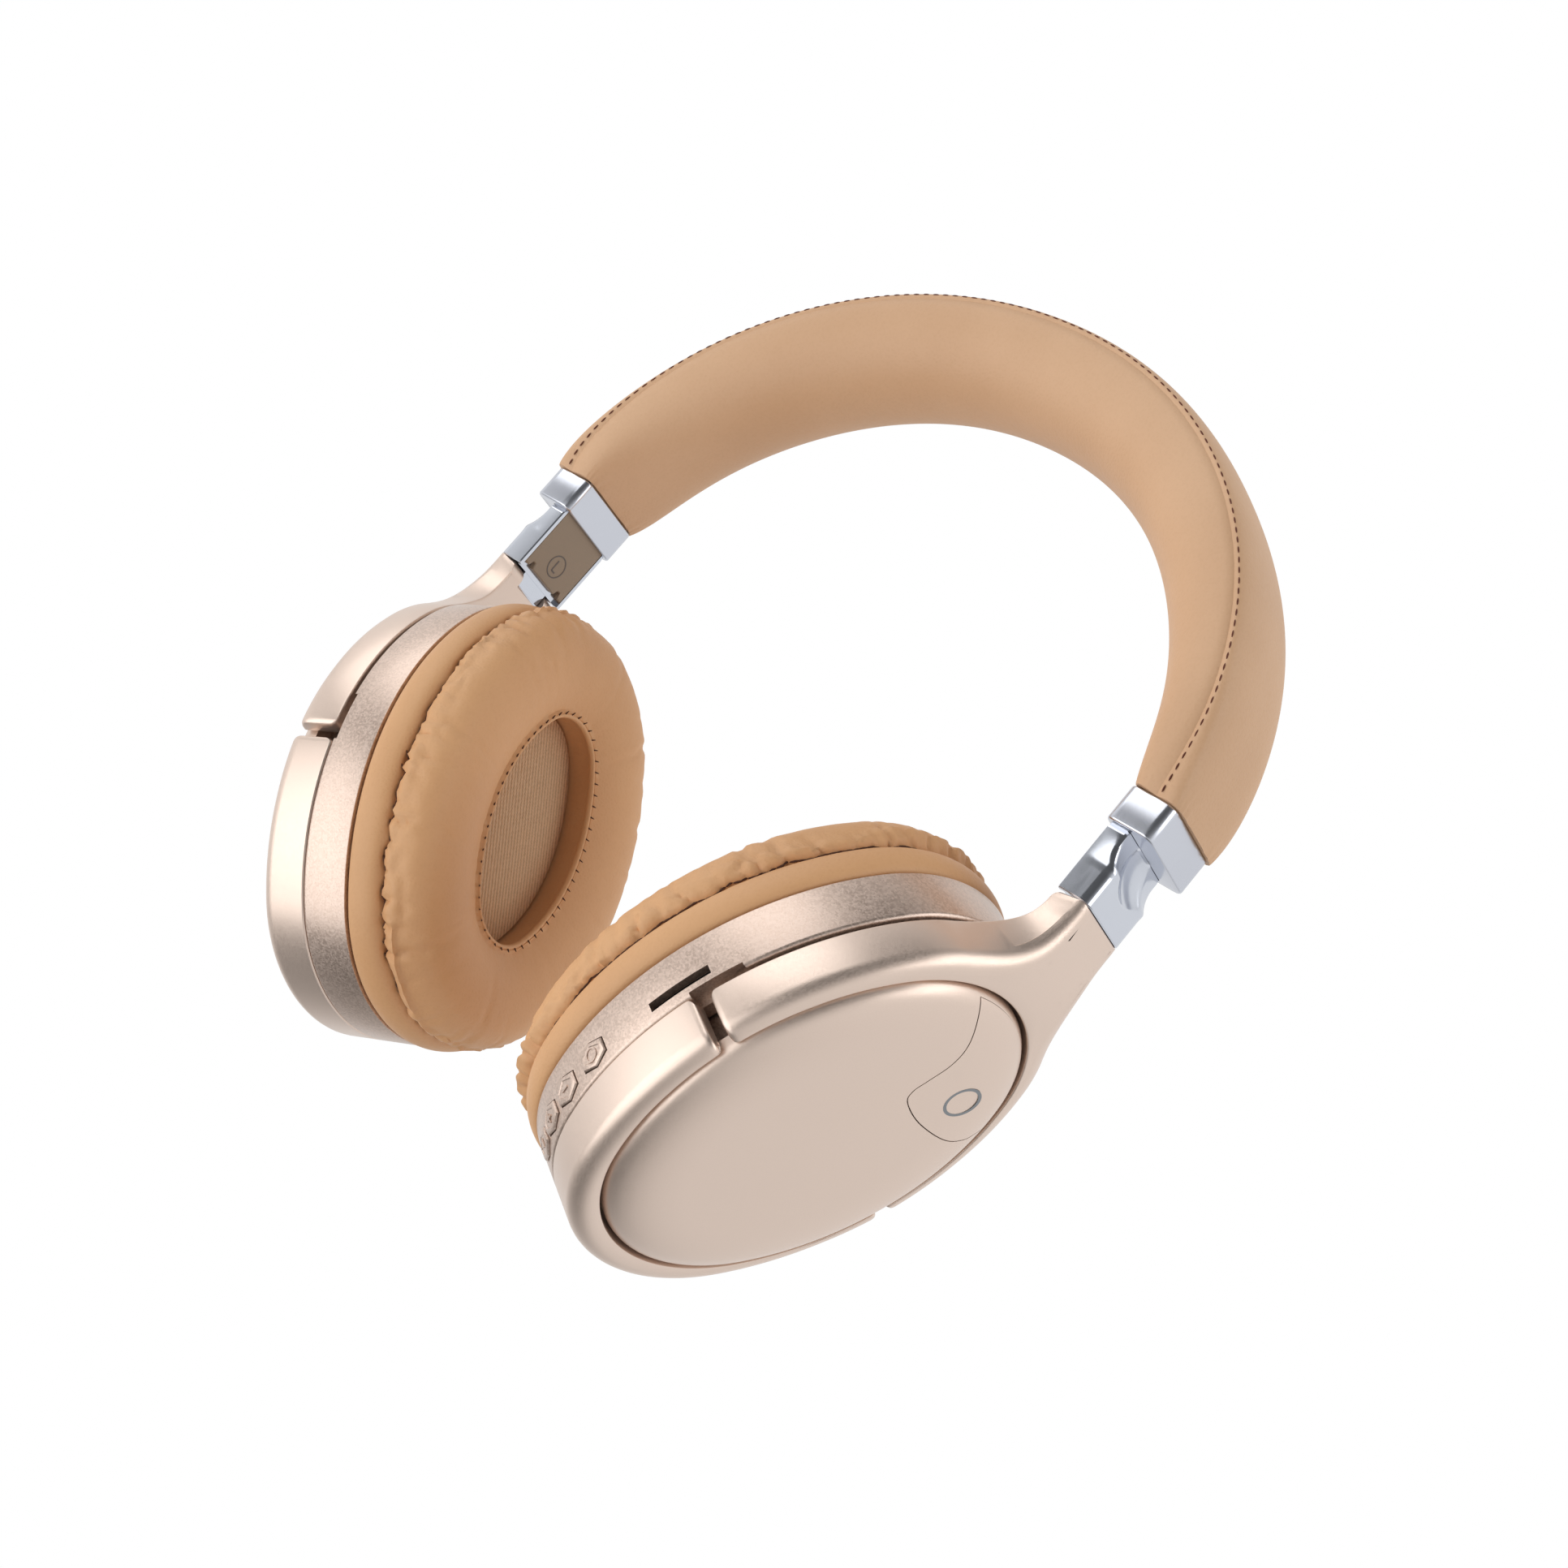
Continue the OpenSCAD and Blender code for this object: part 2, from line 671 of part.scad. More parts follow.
module audio_jack() {
    color("black") in_cup(1) face_out() on_rim(jack_angle) difference() {
        union() {
            translate([-15.2, -3.3, port_z - 2.9]) cube([12.8, 6.6, 5.8]);
            translate([-2.6, 0, port_z]) rotate([0, 90, 0]) cylinder(r = 3, h = 2.4);
        }
        translate([-0.2 - jack_depth, 0, port_z]) rotate([0, 90, 0]) cylinder(r = jack_d / 2, h = 20);
    }
}

module charging_port() {
    color("silver") in_cup(1) face_out() on_rim(port_angle) difference() {
        translate([-7.6, -4.1, port_z - 1.6]) cube([7.2, 8.2, 3.2]);
        translate([-6.6, -3.7, port_z - 1.2]) cube([9, 7.4, 2.4]);
    }
}

// ---------- buttons ----------

// six-sided, with points up and down the barrel's depth
module button_outline(d) {
    w = button_w / 2 + d;
    l = button_l / 2 + d;
    polygon([[-w, 0], [-w + 1.2, -l], [w - 1.2, -l], [w, 0], [w - 1.2, l], [-w + 1.2, l]]);
}

module button(i) {
    color("antiquewhite") in_cup(1) face_out() on_rim(button_angles[i]) {
        translate([-3, 0, button_z]) rotate([0, 90, 0]) linear_extrude(3 + button_out) button_outline(0);
        // a foot that catches behind the wall
        translate([-3.2, -2.9, button_z - button_w / 2 - 0.7]) cube([0.6, 5.8, button_w + 0.2]);
    }
}

headband_cover();
headband_pad();
spring_band();
band_lead();
for (side = sides) {
    end = str("_", side[0]);
    s = side[1];
    collar(s);
    slider_guide(s);
    slider_strip(s);
    slider_shell(s);
    slider_cover(s);
    yoke(s);
    yoke_cover(s);
    fold_pin(s);
    yoke_screws(s);
    pivot_pins(s);
    barrel(s);
    lower_arc(s);
    outer_cover(s);
    accent_panel(s);
    baffle(s);
    cup_screws(s);
    driver_basket(s);
    driver_magnet(s);
    diaphragm(s);
    grille_cloth(s);
    cushion_ring(s);
    ear_cushion(s);
}
battery();
circuit_board();
card_reader();
audio_jack();
charging_port();
for (i = [0 : 3])
    button(i);
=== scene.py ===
import math

import bmesh
import bpy
import numpy as np
from mathutils import Matrix, Vector


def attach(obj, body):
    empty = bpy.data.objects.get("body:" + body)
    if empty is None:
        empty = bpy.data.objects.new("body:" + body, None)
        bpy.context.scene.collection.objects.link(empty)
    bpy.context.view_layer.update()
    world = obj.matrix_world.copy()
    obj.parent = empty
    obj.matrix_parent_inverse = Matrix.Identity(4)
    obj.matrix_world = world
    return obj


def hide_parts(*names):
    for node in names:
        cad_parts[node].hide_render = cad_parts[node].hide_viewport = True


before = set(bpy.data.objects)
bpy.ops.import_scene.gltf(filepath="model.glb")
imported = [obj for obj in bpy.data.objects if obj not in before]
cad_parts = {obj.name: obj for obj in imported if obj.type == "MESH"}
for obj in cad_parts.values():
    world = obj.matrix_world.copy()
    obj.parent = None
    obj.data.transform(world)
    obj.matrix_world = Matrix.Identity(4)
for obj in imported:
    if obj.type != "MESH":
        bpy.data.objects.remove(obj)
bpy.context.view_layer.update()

scene = bpy.context.scene
MM = 0.001               # the headphones are drawn in millimetres, and meshes are stored in metres


# ---------- camera, floor and studio light ----------
# A long lens looks slightly up at the headphones, which hang in the air above a pale floor.

camera = bpy.data.objects.new("camera", bpy.data.cameras.new("camera"))
scene.collection.objects.link(camera)
scene.camera = camera
camera.data.sensor_width = 36
camera.data.lens = 61.5
camera.data.clip_start = 0.01
camera_place = Vector((0.3372, -0.3955, -0.1823))
azimuth, elevation, roll = math.radians(39.69), math.radians(-10.22), math.radians(40.35)
behind = Vector((math.sin(azimuth) * math.cos(elevation), -math.cos(azimuth) * math.cos(elevation),
                 math.sin(elevation)))
axes = behind.to_track_quat("Z", "Y").to_matrix() @ Matrix.Rotation(roll, 3, "Z")   # right, up and back
camera.matrix_world = Matrix.Translation(camera_place) @ axes.to_4x4()

floor_reach, floor_z = 30, -0.33
corners = [(x * floor_reach, y * floor_reach, floor_z) for x, y in ((-1, -1), (1, -1), (1, 1), (-1, 1))]
floor_mesh = bpy.data.meshes.new("floor")
floor_mesh.from_pydata(corners, [], [(0, 1, 2, 3)])
floor = bpy.data.objects.new("floor", floor_mesh)
scene.collection.objects.link(floor)
floor_paint = bpy.data.materials.new("floor_paint")
floor_paint.use_nodes = True
floor_shader = floor_paint.node_tree.nodes["Principled BSDF"]
floor_shader.inputs["Base Color"].default_value = (0, 0, 0, 1)
floor_shader.inputs["Specular IOR Level"].default_value = 0
floor_shader.inputs["Emission Color"].default_value = (1, 1, 1, 1)
floor_shader.inputs["Emission Strength"].default_value = 1
floor_mesh.materials.append(floor_paint)
floor.visible_diffuse = floor.visible_glossy = floor.visible_shadow = False

# white card all round, with a dim patch of room above the camera and dimmer light from below
scene.world = bpy.data.worlds.new("studio")
scene.world.use_nodes = True
room = scene.world.node_tree
looks = room.nodes.new("ShaderNodeTexCoord").outputs["Generated"]
facing = room.nodes.new("ShaderNodeVectorMath")
facing.operation = "DOT_PRODUCT"
facing.inputs[1].default_value = (axes @ Vector((-0.1, -0.72, -0.68))).normalized()
room.links.new(looks, facing.inputs[0])
height = room.nodes.new("ShaderNodeSeparateXYZ")
room.links.new(looks, height.inputs[0])


def brightness(direction, kind, low, high, least, most):
    """Light that goes from least to most as the direction goes from low to high."""
    fade = room.nodes.new("ShaderNodeMapRange")
    fade.interpolation_type = kind
    for key, value in zip(("From Min", "From Max", "To Min", "To Max"), (low, high, least, most)):
        fade.inputs[key].default_value = value
    room.links.new(direction, fade.inputs["Value"])
    return fade.outputs[0]


def combine(operation, first, second):
    node = room.nodes.new("ShaderNodeMath")
    node.operation = operation
    room.links.new(first, node.inputs[0])
    room.links.new(second, node.inputs[1])
    return node.outputs[0]


card = combine("MULTIPLY", brightness(facing.outputs["Value"], "SMOOTHSTEP", -0.95, -0.1, 0.1, 0.86),
               brightness(height.outputs["Z"], "LINEAR", -1.0, -0.4, 0.15, 1.0))
to_camera = room.nodes.new("ShaderNodeLightPath").outputs["Is Camera Ray"]
room.links.new(combine("MAXIMUM", card, to_camera), room.nodes["Background"].inputs["Strength"])
room.nodes["Background"].inputs["Color"].default_value = (1, 1, 1, 1)
scene.view_settings.view_transform = "Standard"


def softbox(name, at, size, power):
    """A soft area light, placed by how far right, up and towards the camera it is from the headphones."""
    lamp = bpy.data.lights.new(name, "AREA")
    lamp.shape = "RECTANGLE"
    lamp.size, lamp.size_y = size
    lamp.energy = power
    box = bpy.data.objects.new(name, lamp)
    scene.collection.objects.link(box)
    centre = Vector((0, 0, -0.08))
    spot = centre + axes @ Vector(at)
    aim = (centre - spot).to_track_quat("-Z", "Y").to_matrix()
    box.matrix_world = Matrix.Translation(spot) @ aim.to_4x4()


softbox("key_light", (-0.9, 0.1, 0.6), (1.3, 1.3), 7.6)
softbox("top_light", (-0.25, 0.9, 0.15), (1.0, 0.5), 2.6)
softbox("side_light", (0.9, 0.1, 0.5), (0.5, 0.9), 2.6)


# ---------- headband ----------
# Two strips of soft synthetic leather over foam, sewn together along both edges: a thin
# cover on the outside and a thick pad inside. A steel spring and the lead run between them.

def srgb(r, g, b):
    """A colour read as 0 to 255 values, made linear."""
    shares = (v / 255 for v in (r, g, b))
    return tuple(v / 12.92 if v < 0.043 else ((v + 0.055) / 1.055) ** 2.4 for v in shares) + (1,)


def darker(colour, share):
    return tuple(share * v for v in colour[:3]) + (1,)


class Value:
    """A shader socket that Python's operators work on."""

    def __init__(self, finish, socket):
        self.finish = finish
        self.socket = socket

    def math(self, operation, *others):
        return self.finish.node("ShaderNodeMath", {"operation": operation}, self, *others)

    def __add__(self, other):
        return self.math("ADD", other)

    def __sub__(self, other):
        return self.math("SUBTRACT", other)

    def __rsub__(self, other):
        return self.finish.node("ShaderNodeMath", {"operation": "SUBTRACT"}, other, self)

    def __mul__(self, other):
        return self.math("MULTIPLY", other)

    __radd__ = __add__
    __rmul__ = __mul__

    def ramp(self, low, high):
        """0 below low, 1 above high, smooth between them."""
        return self.finish.node("ShaderNodeMapRange", {"interpolation_type": "SMOOTHSTEP"}, self, low, high)


class Finish:
    """A material around one Principled shader. Constants go straight onto its sockets."""

    def __init__(self, name, colour, roughness, **constants):
        self.material = bpy.data.materials.new(name)
        self.material.use_nodes = True
        self.tree = self.material.node_tree
        self.shader = self.tree.nodes["Principled BSDF"]
        self.shader.inputs["Base Color"].default_value = colour
        self.shader.inputs["Roughness"].default_value = roughness
        for key, value in constants.items():
            self.shader.inputs[key.replace("_", " ").title().replace("Ior", "IOR")].default_value = value

    def node(self, kind, settings, *values, out=0, **named):
        node = self.tree.nodes.new(kind)
        for key, value in settings.items():
            setattr(node, key, value)
        given = dict(enumerate(values))
        given.update((key.replace("_", " ").title(), value) for key, value in named.items())
        for key, value in given.items():
            if isinstance(value, Value):
                self.tree.links.new(value.socket, node.inputs[key])
            elif value is not None:
                node.inputs[key].default_value = value
        return Value(self, node.outputs[out])

    def where(self, scale=(1, 1, 1), turn=(0, 0, 0)):
        """Object coordinates, stretched and turned."""
        place = self.node("ShaderNodeTexCoord", {}, out="Object")
        return self.node("ShaderNodeMapping", {}, place, None, turn, scale)

    def noise(self, scale, detail=2.0, where=None):
        return self.node("ShaderNodeTexNoise", {}, where or self.where(), scale=scale, detail=detail)

    def cells(self, scale, out="Distance"):
        return self.node("ShaderNodeTexVoronoi", {}, self.where(), scale=scale, out=out)

    def mix(self, a, b, factor):
        node = self.tree.nodes.new("ShaderNodeMix")
        node.data_type = "RGBA"
        for key, value in ((0, factor), (6, a), (7, b)):
            if isinstance(value, Value):
                self.tree.links.new(value.socket, node.inputs[key])
            else:
                node.inputs[key].default_value = value
        return Value(self, node.outputs[2])

    def bump(self, height, depth, strength=1.0):
        """depth is in metres: how far height 1 stands above height 0."""
        return self.node("ShaderNodeBump", {}, strength=strength, distance=depth, height=height)

    def feed(self, **sockets):
        for key, value in sockets.items():
            self.tree.links.new(value.socket, self.shader.inputs[key.replace("_", " ").title()])
        return self.material


def leather(name, colour, dark):
    """Soft synthetic leather: fine pebbled grain, faint creases and a dull sheen."""
    skin = Finish(name, colour, 0.5, specular_ior_level=0.42)
    pebbles = skin.cells(1500.0).ramp(0.0, 0.7)
    pores = skin.noise(900.0, 3.0)
    creases = skin.noise(55.0, 4.0, skin.where((1, 1, 0.6))).ramp(0.35, 0.75)
    tone = skin.noise(28.0, 3.0).ramp(0.3, 0.7)
    # the colour varies at random with tone, and the pits of the grain are painted a little darker as painted
    # shade
    shade = skin.mix(dark, colour, tone * 0.55 + pebbles * 0.15 + 0.3)
    height = pebbles * 0.6 + pores * 0.5 + creases * 0.9
    return skin.feed(base_color=shade, roughness=0.42 + 0.16 * pores + 0.05 * tone,
                     normal=skin.bump(height, 0.00006, 0.8))


band_leather = leather("band_leather", srgb(219, 178, 141), srgb(206, 163, 125))


def add(name, verts, faces, material, smooth=35.0):
    """A piece from points in millimetres, smooth except over edges sharper than smooth degrees."""
    mesh = bpy.data.meshes.new(name)
    mesh.from_pydata((np.asarray(verts, float) * MM).tolist(), [], faces)
    piece = bpy.data.objects.new(name, mesh)
    scene.collection.objects.link(piece)
    tidy(piece, material, smooth)
    return piece


def tidy(piece, material, smooth=35.0):
    """Merges doubles, turns the faces outwards and sets what is smooth and what it is made of."""
    shape = bmesh.new()
    shape.from_mesh(piece.data)
    bmesh.ops.remove_doubles(shape, verts=shape.verts, dist=0.000001)
    bmesh.ops.dissolve_degenerate(shape, edges=shape.edges, dist=0.0000005)
    bmesh.ops.recalc_face_normals(shape, faces=shape.faces)
    for face in shape.faces:
        face.smooth = True
        face.material_index = 0
    for edge in shape.edges:
        edge.smooth = len(edge.link_faces) == 2 and edge.calc_face_angle(0) < math.radians(smooth)
    shape.to_mesh(piece.data)
    shape.free()
    piece.data.materials.clear()
    piece.data.materials.append(material)


def loft(loops, ring=False):
    """Points and faces through a list of loops with equal counts. A ring joins the last loop to the
    first; otherwise both ends are closed."""
    count = len(loops[0])
    total = len(loops)
    verts = np.concatenate([np.asarray(loop, float) for loop in loops])
    faces = []
    for i in range(total if ring else total - 1):
        a, b = i * count, (i + 1) % total * count
        for j in range(count):
            k = (j + 1) % count
            faces.append((a + j, a + k, b + k, b + j))
    if not ring:
        faces += [tuple(range(count))[::-1], tuple(range((total - 1) * count, total * count))]
    return verts, faces


crown_rise = 58.2
collar_x, collar_z = 83.7, -crown_rise
pad_depth, cover_depth = 17.2, 3.7
band_w, band_end_w = 30.4, 22.4
taper = 3.8              # how late the band starts to narrow: the power of the way to its end
band_x = (0.0, 54.6, collar_x + 2.9, collar_x + 0.8)
band_z = (pad_depth, pad_depth, collar_z + 32.8, collar_z)


def bezier(p, t):
    """A cubic curve with the control values p."""
    return (1 - t) ** 3 * p[0] + 3 * (1 - t) ** 2 * t * p[1] + 3 * (1 - t) * t * t * p[2] + t ** 3 * p[3]


def slope(p, t):
    """A third of the same curve's derivative."""
    return (1 - t) ** 2 * (p[1] - p[0]) + 2 * (1 - t) * t * (p[2] - p[1]) + t * t * (p[3] - p[2])


def band_points(t, y, r):
    """Points on the band: t from -1 to 1 along it, y across it, r above its seam."""
    u = np.abs(t)
    along = np.stack([slope(band_x, u), slope(band_z, u)])
    along = along / np.linalg.norm(along, axis=0)
    x = np.where(t < 0, -1, 1) * (bezier(band_x, u) - along[1] * r)
    return np.stack([x, y, bezier(band_z, u) + along[0] * r], axis=-1)


def band_section(t, side, count):
    """(y, r) round the cover's half of the section (side 1) or the pad's (side -1)."""
    u = abs(t)
    half_w = (band_w + (band_end_w + 3 * (1 - u ** 24) - band_w) * u ** taper) / 2
    middle, end = (cover_depth, 5.4) if side > 0 else (pad_depth, 6)
    height = middle + (end - middle) * u ** taper
    power = 2 / (2.2 + 3.8 * u ** 8)
    a = np.linspace(0, math.pi, count)
    c, s = np.cos(a), np.maximum(np.sin(a), 0)
    y = half_w * np.sign(c) * np.abs(c) ** power
    r = side * height * s ** power
    # the leather dips into the seam, and gathers a little above the collars
    dip = 0.55 * np.exp(-(r / 0.75) ** 2)
    gather = 0.16 * max(0.0, (u - 0.955) / 0.045) * np.sin(a * 26 + 5 * u) * s
    return y - dip * np.sign(y), r + gather


def band_half(name, side, count, stations=220):
    loops = []
    for t in np.linspace(-1, 1, stations):
        y, r = band_section(t, side, count)
        loops.append(band_points(np.full(count, t), y, r))
    verts, faces = loft(loops)
    verts[:, 2] = np.where(np.abs(verts[:, 0]) > 60, np.maximum(verts[:, 2], collar_z + 0.02), verts[:, 2])
    piece = add(name, verts, faces, band_leather, smooth=50)
    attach(piece, "headband")
    return piece


band_cover = band_half("band_cover", 1, 44)
band_pad = band_half("band_pad", -1, 72)
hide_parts("headband_cover")
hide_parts("headband_pad")


# ---------- headband stitching ----------
# Waxed dark red thread in short stitches, 2.3 mm apart, just inside the cover's edge on the
# front and the back of the band.

def sewing_tree():
    """Geometry nodes that lay stitches along a path. The path's own lay attribute points along each."""
    tree = bpy.data.node_groups.new("sewing", "GeometryNodeTree")
    face = tree.interface
    face.new_socket("Path", in_out="INPUT", socket_type="NodeSocketGeometry")
    for name in ("Spacing", "Length", "Thread"):
        face.new_socket(name, in_out="INPUT", socket_type="NodeSocketFloat")
    face.new_socket("Finish", in_out="INPUT", socket_type="NodeSocketMaterial")
    face.new_socket("Stitches", in_out="OUTPUT", socket_type="NodeSocketGeometry")

    def node(kind, **inputs):
        made = tree.nodes.new(kind)
        for key, value in inputs.items():
            socket = made.inputs[key.replace("_", " ")]
            if isinstance(value, bpy.types.NodeSocket):
                tree.links.new(value, socket)
            else:
                socket.default_value = value
        return made

    given = tree.nodes.new("NodeGroupInput").outputs
    curve = node("GeometryNodeMeshToCurve", Mesh=given["Path"]).outputs[0]
    even = tree.nodes.new("GeometryNodeResampleCurve")
    even.mode = "LENGTH"
    tree.links.new(curve, even.inputs["Curve"])
    tree.links.new(given["Spacing"], even.inputs["Length"])
    points = tree.nodes.new("GeometryNodeCurveToPoints")
    points.mode = "EVALUATED"
    tree.links.new(even.outputs[0], points.inputs["Curve"])
    lay = tree.nodes.new("GeometryNodeInputNamedAttribute")
    lay.data_type = "FLOAT_VECTOR"
    lay.inputs["Name"].default_value = "lay"
    aim = tree.nodes.new("FunctionNodeAlignRotationToVector")
    aim.axis = "X"
    tree.links.new(lay.outputs["Attribute"], aim.inputs["Vector"])
    ball = node("GeometryNodeMeshUVSphere", Segments=8, Rings=6, Radius=0.5).outputs["Mesh"]
    size = node("ShaderNodeCombineXYZ", X=given["Length"], Y=given["Thread"], Z=given["Thread"]).outputs[0]
    laid = node("GeometryNodeInstanceOnPoints", Points=points.outputs["Points"], Instance=ball,
                Rotation=aim.outputs[0], Scale=size).outputs[0]
    real = node("GeometryNodeRealizeInstances", Geometry=laid).outputs[0]
    done = node("GeometryNodeSetMaterial", Geometry=real, Material=given["Finish"]).outputs[0]
    tree.links.new(done, tree.nodes.new("NodeGroupOutput").inputs["Stitches"])
    return tree


sewing = sewing_tree()


def sew(name, paths, spacing, length, thread, finish):
    """A plain mesh of stitches along paths of (points, lay vectors), all in millimetres."""
    mesh = bpy.data.meshes.new(name)
    verts, edges, lays = [], [], []
    for points, lay, closed in paths:
        start = len(verts)
        verts += (np.asarray(points) * MM).tolist()
        lays += np.asarray(lay).tolist()
        edges += [(start + i, start + i + 1) for i in range(len(points) - 1)]
        if closed:
            edges.append((len(verts) - 1, start))
    mesh.from_pydata(verts, edges, [])
    layer = mesh.attributes.new("lay", "FLOAT_VECTOR", "POINT")
    layer.data.foreach_set("vector", np.asarray(lays, np.float32).ravel())
    piece = bpy.data.objects.new(name, mesh)
    scene.collection.objects.link(piece)
    nodes = piece.modifiers.new("sewing", "NODES")
    nodes.node_group = sewing
    given = {s.name: s.identifier for s in sewing.interface.items_tree if s.in_out == "INPUT"}
    nodes[given["Spacing"]] = spacing * MM
    nodes[given["Length"]] = length * MM
    nodes[given["Thread"]] = thread * MM
    nodes[given["Finish"]] = finish
    graph = bpy.context.evaluated_depsgraph_get()
    plain = bpy.data.meshes.new_from_object(piece.evaluated_get(graph))
    piece.modifiers.clear()
    piece.data = plain
    for face in plain.polygons:
        face.use_smooth = True
    return piece


def thread_finish(name, colour):
    """Twisted waxed thread."""
    thread = Finish(name, colour, 0.6)
    twist = thread.node("ShaderNodeTexWave", {}, thread.where(turn=(0.5, 0.6, 0.3)), scale=2500.0)
    return thread.feed(base_color=thread.mix(colour, darker(colour, 0.55), twist),
                       normal=thread.bump(twist, 0.00004))


dark_thread = thread_finish("dark_thread", srgb(118, 58, 34))
seam_rise = 0.95         # how far the stitches lie above the seam
seam_paths = []
for edge, half in ((-1, np.arange(399, 199, -1)), (1, np.arange(200))):
    line = []
    for t in np.linspace(-0.985, 0.985, 260):
        y, r = band_section(t, 1, 400)
        near = half[np.argmin(np.abs(r[half] - seam_rise))]
        line.append(band_points(t, y[near] + 0.02 * edge, r[near]))
    seam_paths.append((np.array(line), np.gradient(np.array(line), axis=0), False))
band_stitches = sew("band_stitches", seam_paths, 2.3, 1.5, 0.34, dark_thread)
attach(band_stitches, "headband")


# ---------- collars ----------
# Cast zinc end caps with a satin chrome finish, pressed over the ends of the band. The
# slider passes through a slot in each.

collar_w, collar_t, collar_h = 21.0, 10.9, 7.7
collar_edge, collar_corner = 0.45, 2.3
tongue_w, tongue_t = 17.6, 4.6
play = 0.08              # between the tongue and the collar's slot
slider_x = collar_x - 4.3


def mirrored(points, side):
    """The right-hand side's points, or their mirror for the left."""
    return np.asarray(points) * (side, 1, 1)


def shell(name, loops, side, material, smooth=35.0, ring=False):
    """A piece lofted through loops that are drawn for the right side."""
    verts, faces = loft(loops, ring)
    return add(name, mirrored(verts, side), faces, material, smooth)


def rounded_rect(x0, x1, half_y, radius, count=8):
    """A loop in X and Y with round corners."""
    loop = []
    for k, (cx, cy) in enumerate(((x1, half_y), (x0, half_y), (x0, -half_y), (x1, -half_y))):
        dx, dy = (1, -1, -1, 1)[k], (1, 1, -1, -1)[k]
        for i in range(count + 1):
            a = math.radians(90 * (k + i / count))
            loop.append((cx - dx * radius + radius * math.cos(a), cy - dy * radius + radius * math.sin(a)))
    return np.array(loop)


def level(loop, z):
    return np.column_stack([loop, np.full(len(loop), z)])


def metal(name, colour, roughness, scratch=0.00001, direction=(40, 40, 900)):
    """Plated or bare metal with faint polishing marks and smudges."""
    plate = Finish(name, colour, roughness, metallic=1.0)
    marks = plate.noise(60.0, 3.0, plate.where(direction))
    smudge = plate.noise(35.0, 2.0).ramp(0.3, 0.8)
    shade = plate.mix(colour, darker(colour, 0.9), smudge * 0.5)
    return plate.feed(base_color=shade, roughness=roughness + 0.07 * marks + 0.05 * smudge,
                      normal=plate.bump(marks, scratch, 0.6))


satin_chrome = metal("satin_chrome", srgb(212, 215, 224), 0.19, direction=(30, 30, 4))
sides = (("left", -1), ("right", 1))
for side_name, side in sides:
    low, high = collar_z - collar_h, collar_z
    loops = []
    for z, way, angles in ((low, 1, (90, 60, 30, 0)), (high, -1, (0, 30, 60, 90))):
        for a in np.radians(angles):
            inset = collar_edge * (1 - math.cos(a))
            drop = collar_edge * (1 - math.sin(a))
            outline = rounded_rect(collar_x - collar_t / 2 + inset, collar_x + collar_t / 2 - inset,
                                   collar_w / 2 - inset, collar_corner - inset)
            loops.append(level(outline, z + way * drop))
    slot = rounded_rect(slider_x - play, slider_x + tongue_t + play, tongue_w / 2 + play, 0.5)
    loops += [level(slot, high), level(slot, low)]
    collar = shell("collar_cap_" + side_name, loops, side, satin_chrome, ring=True)
    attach(collar, "headband")
    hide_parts("collar_" + side_name)


# ---------- sliders ----------
# Chromed zinc castings. The tongue thickens in a concave ramp below the collar, with a
# round thumb scoop in its outer face, and ends in the knuckle that the yoke folds on.

slider_t, slider_drop = 7.3, 15.3
slider_out = slider_x + slider_t
tongue_out = slider_x + tongue_t
parting_z = collar_z - collar_h - slider_drop
tongue_top = collar_z + 20
knuckle_w, hinge_r = 9.0, 2.9
hinge_x, hinge_z = slider_x + hinge_r, parting_z - 3
ramp_z, ramp_r = collar_z - collar_h - 0.8, 9.2
scoop_x, scoop_z, scoop_r = slider_out + 7.7, ramp_z - 1.2, 11.2


def soft_min(a, b, k):
    """The smaller of two values, with a fillet of about k where they meet."""
    h = np.clip(0.5 + 0.5 * (b - a) / k, 0, 1)
    return b + (a - b) * h - k * h * (1 - h)


def slider_face(y, z):
    """X of the slider's outer face."""
    ramp = tongue_out + ramp_r - np.sqrt(np.maximum(ramp_r ** 2 - np.clip(ramp_z - z, 0, ramp_r) ** 2, 0))
    face = soft_min(np.where(z > ramp_z, tongue_out, ramp), slider_out + 0 * z, 0.5)
    ball = scoop_r ** 2 - y ** 2 - (z - scoop_z) ** 2
    scoop = np.where(ball > 0, scoop_x - np.sqrt(np.maximum(ball, 0)), slider_out + 1)
    scoop = np.where(z > ramp_z + 0.6, tongue_out, np.maximum(scoop, slider_x + 3.0))
    return soft_min(face, scoop, 0.25)


def joined(shapes):
    """One set of points and faces from several."""
    verts, faces, start = [], [], 0
    for points, sheets in shapes:
        verts.append(points)
        faces += [tuple(i + start for i in face) for face in sheets]
        start += len(points)
    return np.vstack(verts), faces


def slider_loop(z):
    """The slider's section at this height, with its bullnose sides and the recess for its cover."""
    half = tongue_w / 2 + (0.3 if z < ramp_z else 0.3 * max(0, 1 - (z - ramp_z) / 0.6))
    ease = 0.2 * max(0, 1 - (z - parting_z) / 0.25)
    half -= ease
    bull = 2.4 if z < ramp_z - 8 else 0.5 + 1.9 * max(0, min(1, (ramp_z - z) / 8))
    y = half * np.linspace(-1, 1, 49)
    x = slider_face(y, np.full_like(y, z)) - ease
    to_edge = np.clip(bull - (half - np.abs(y)), 0, bull)
    x = x - (bull - np.sqrt(np.maximum(bull ** 2 - to_edge ** 2, 0)))
    floor_x = slider_x + 1.25
    recess = [(slider_x + 0.25, half), (slider_x, half - 0.25), (slider_x, 8.05), (floor_x, 8.05)]
    recess += [(x_here, -y_here) for x_here, y_here in recess[::-1]]
    return level(np.vstack([np.column_stack([x, y]), recess]), z)


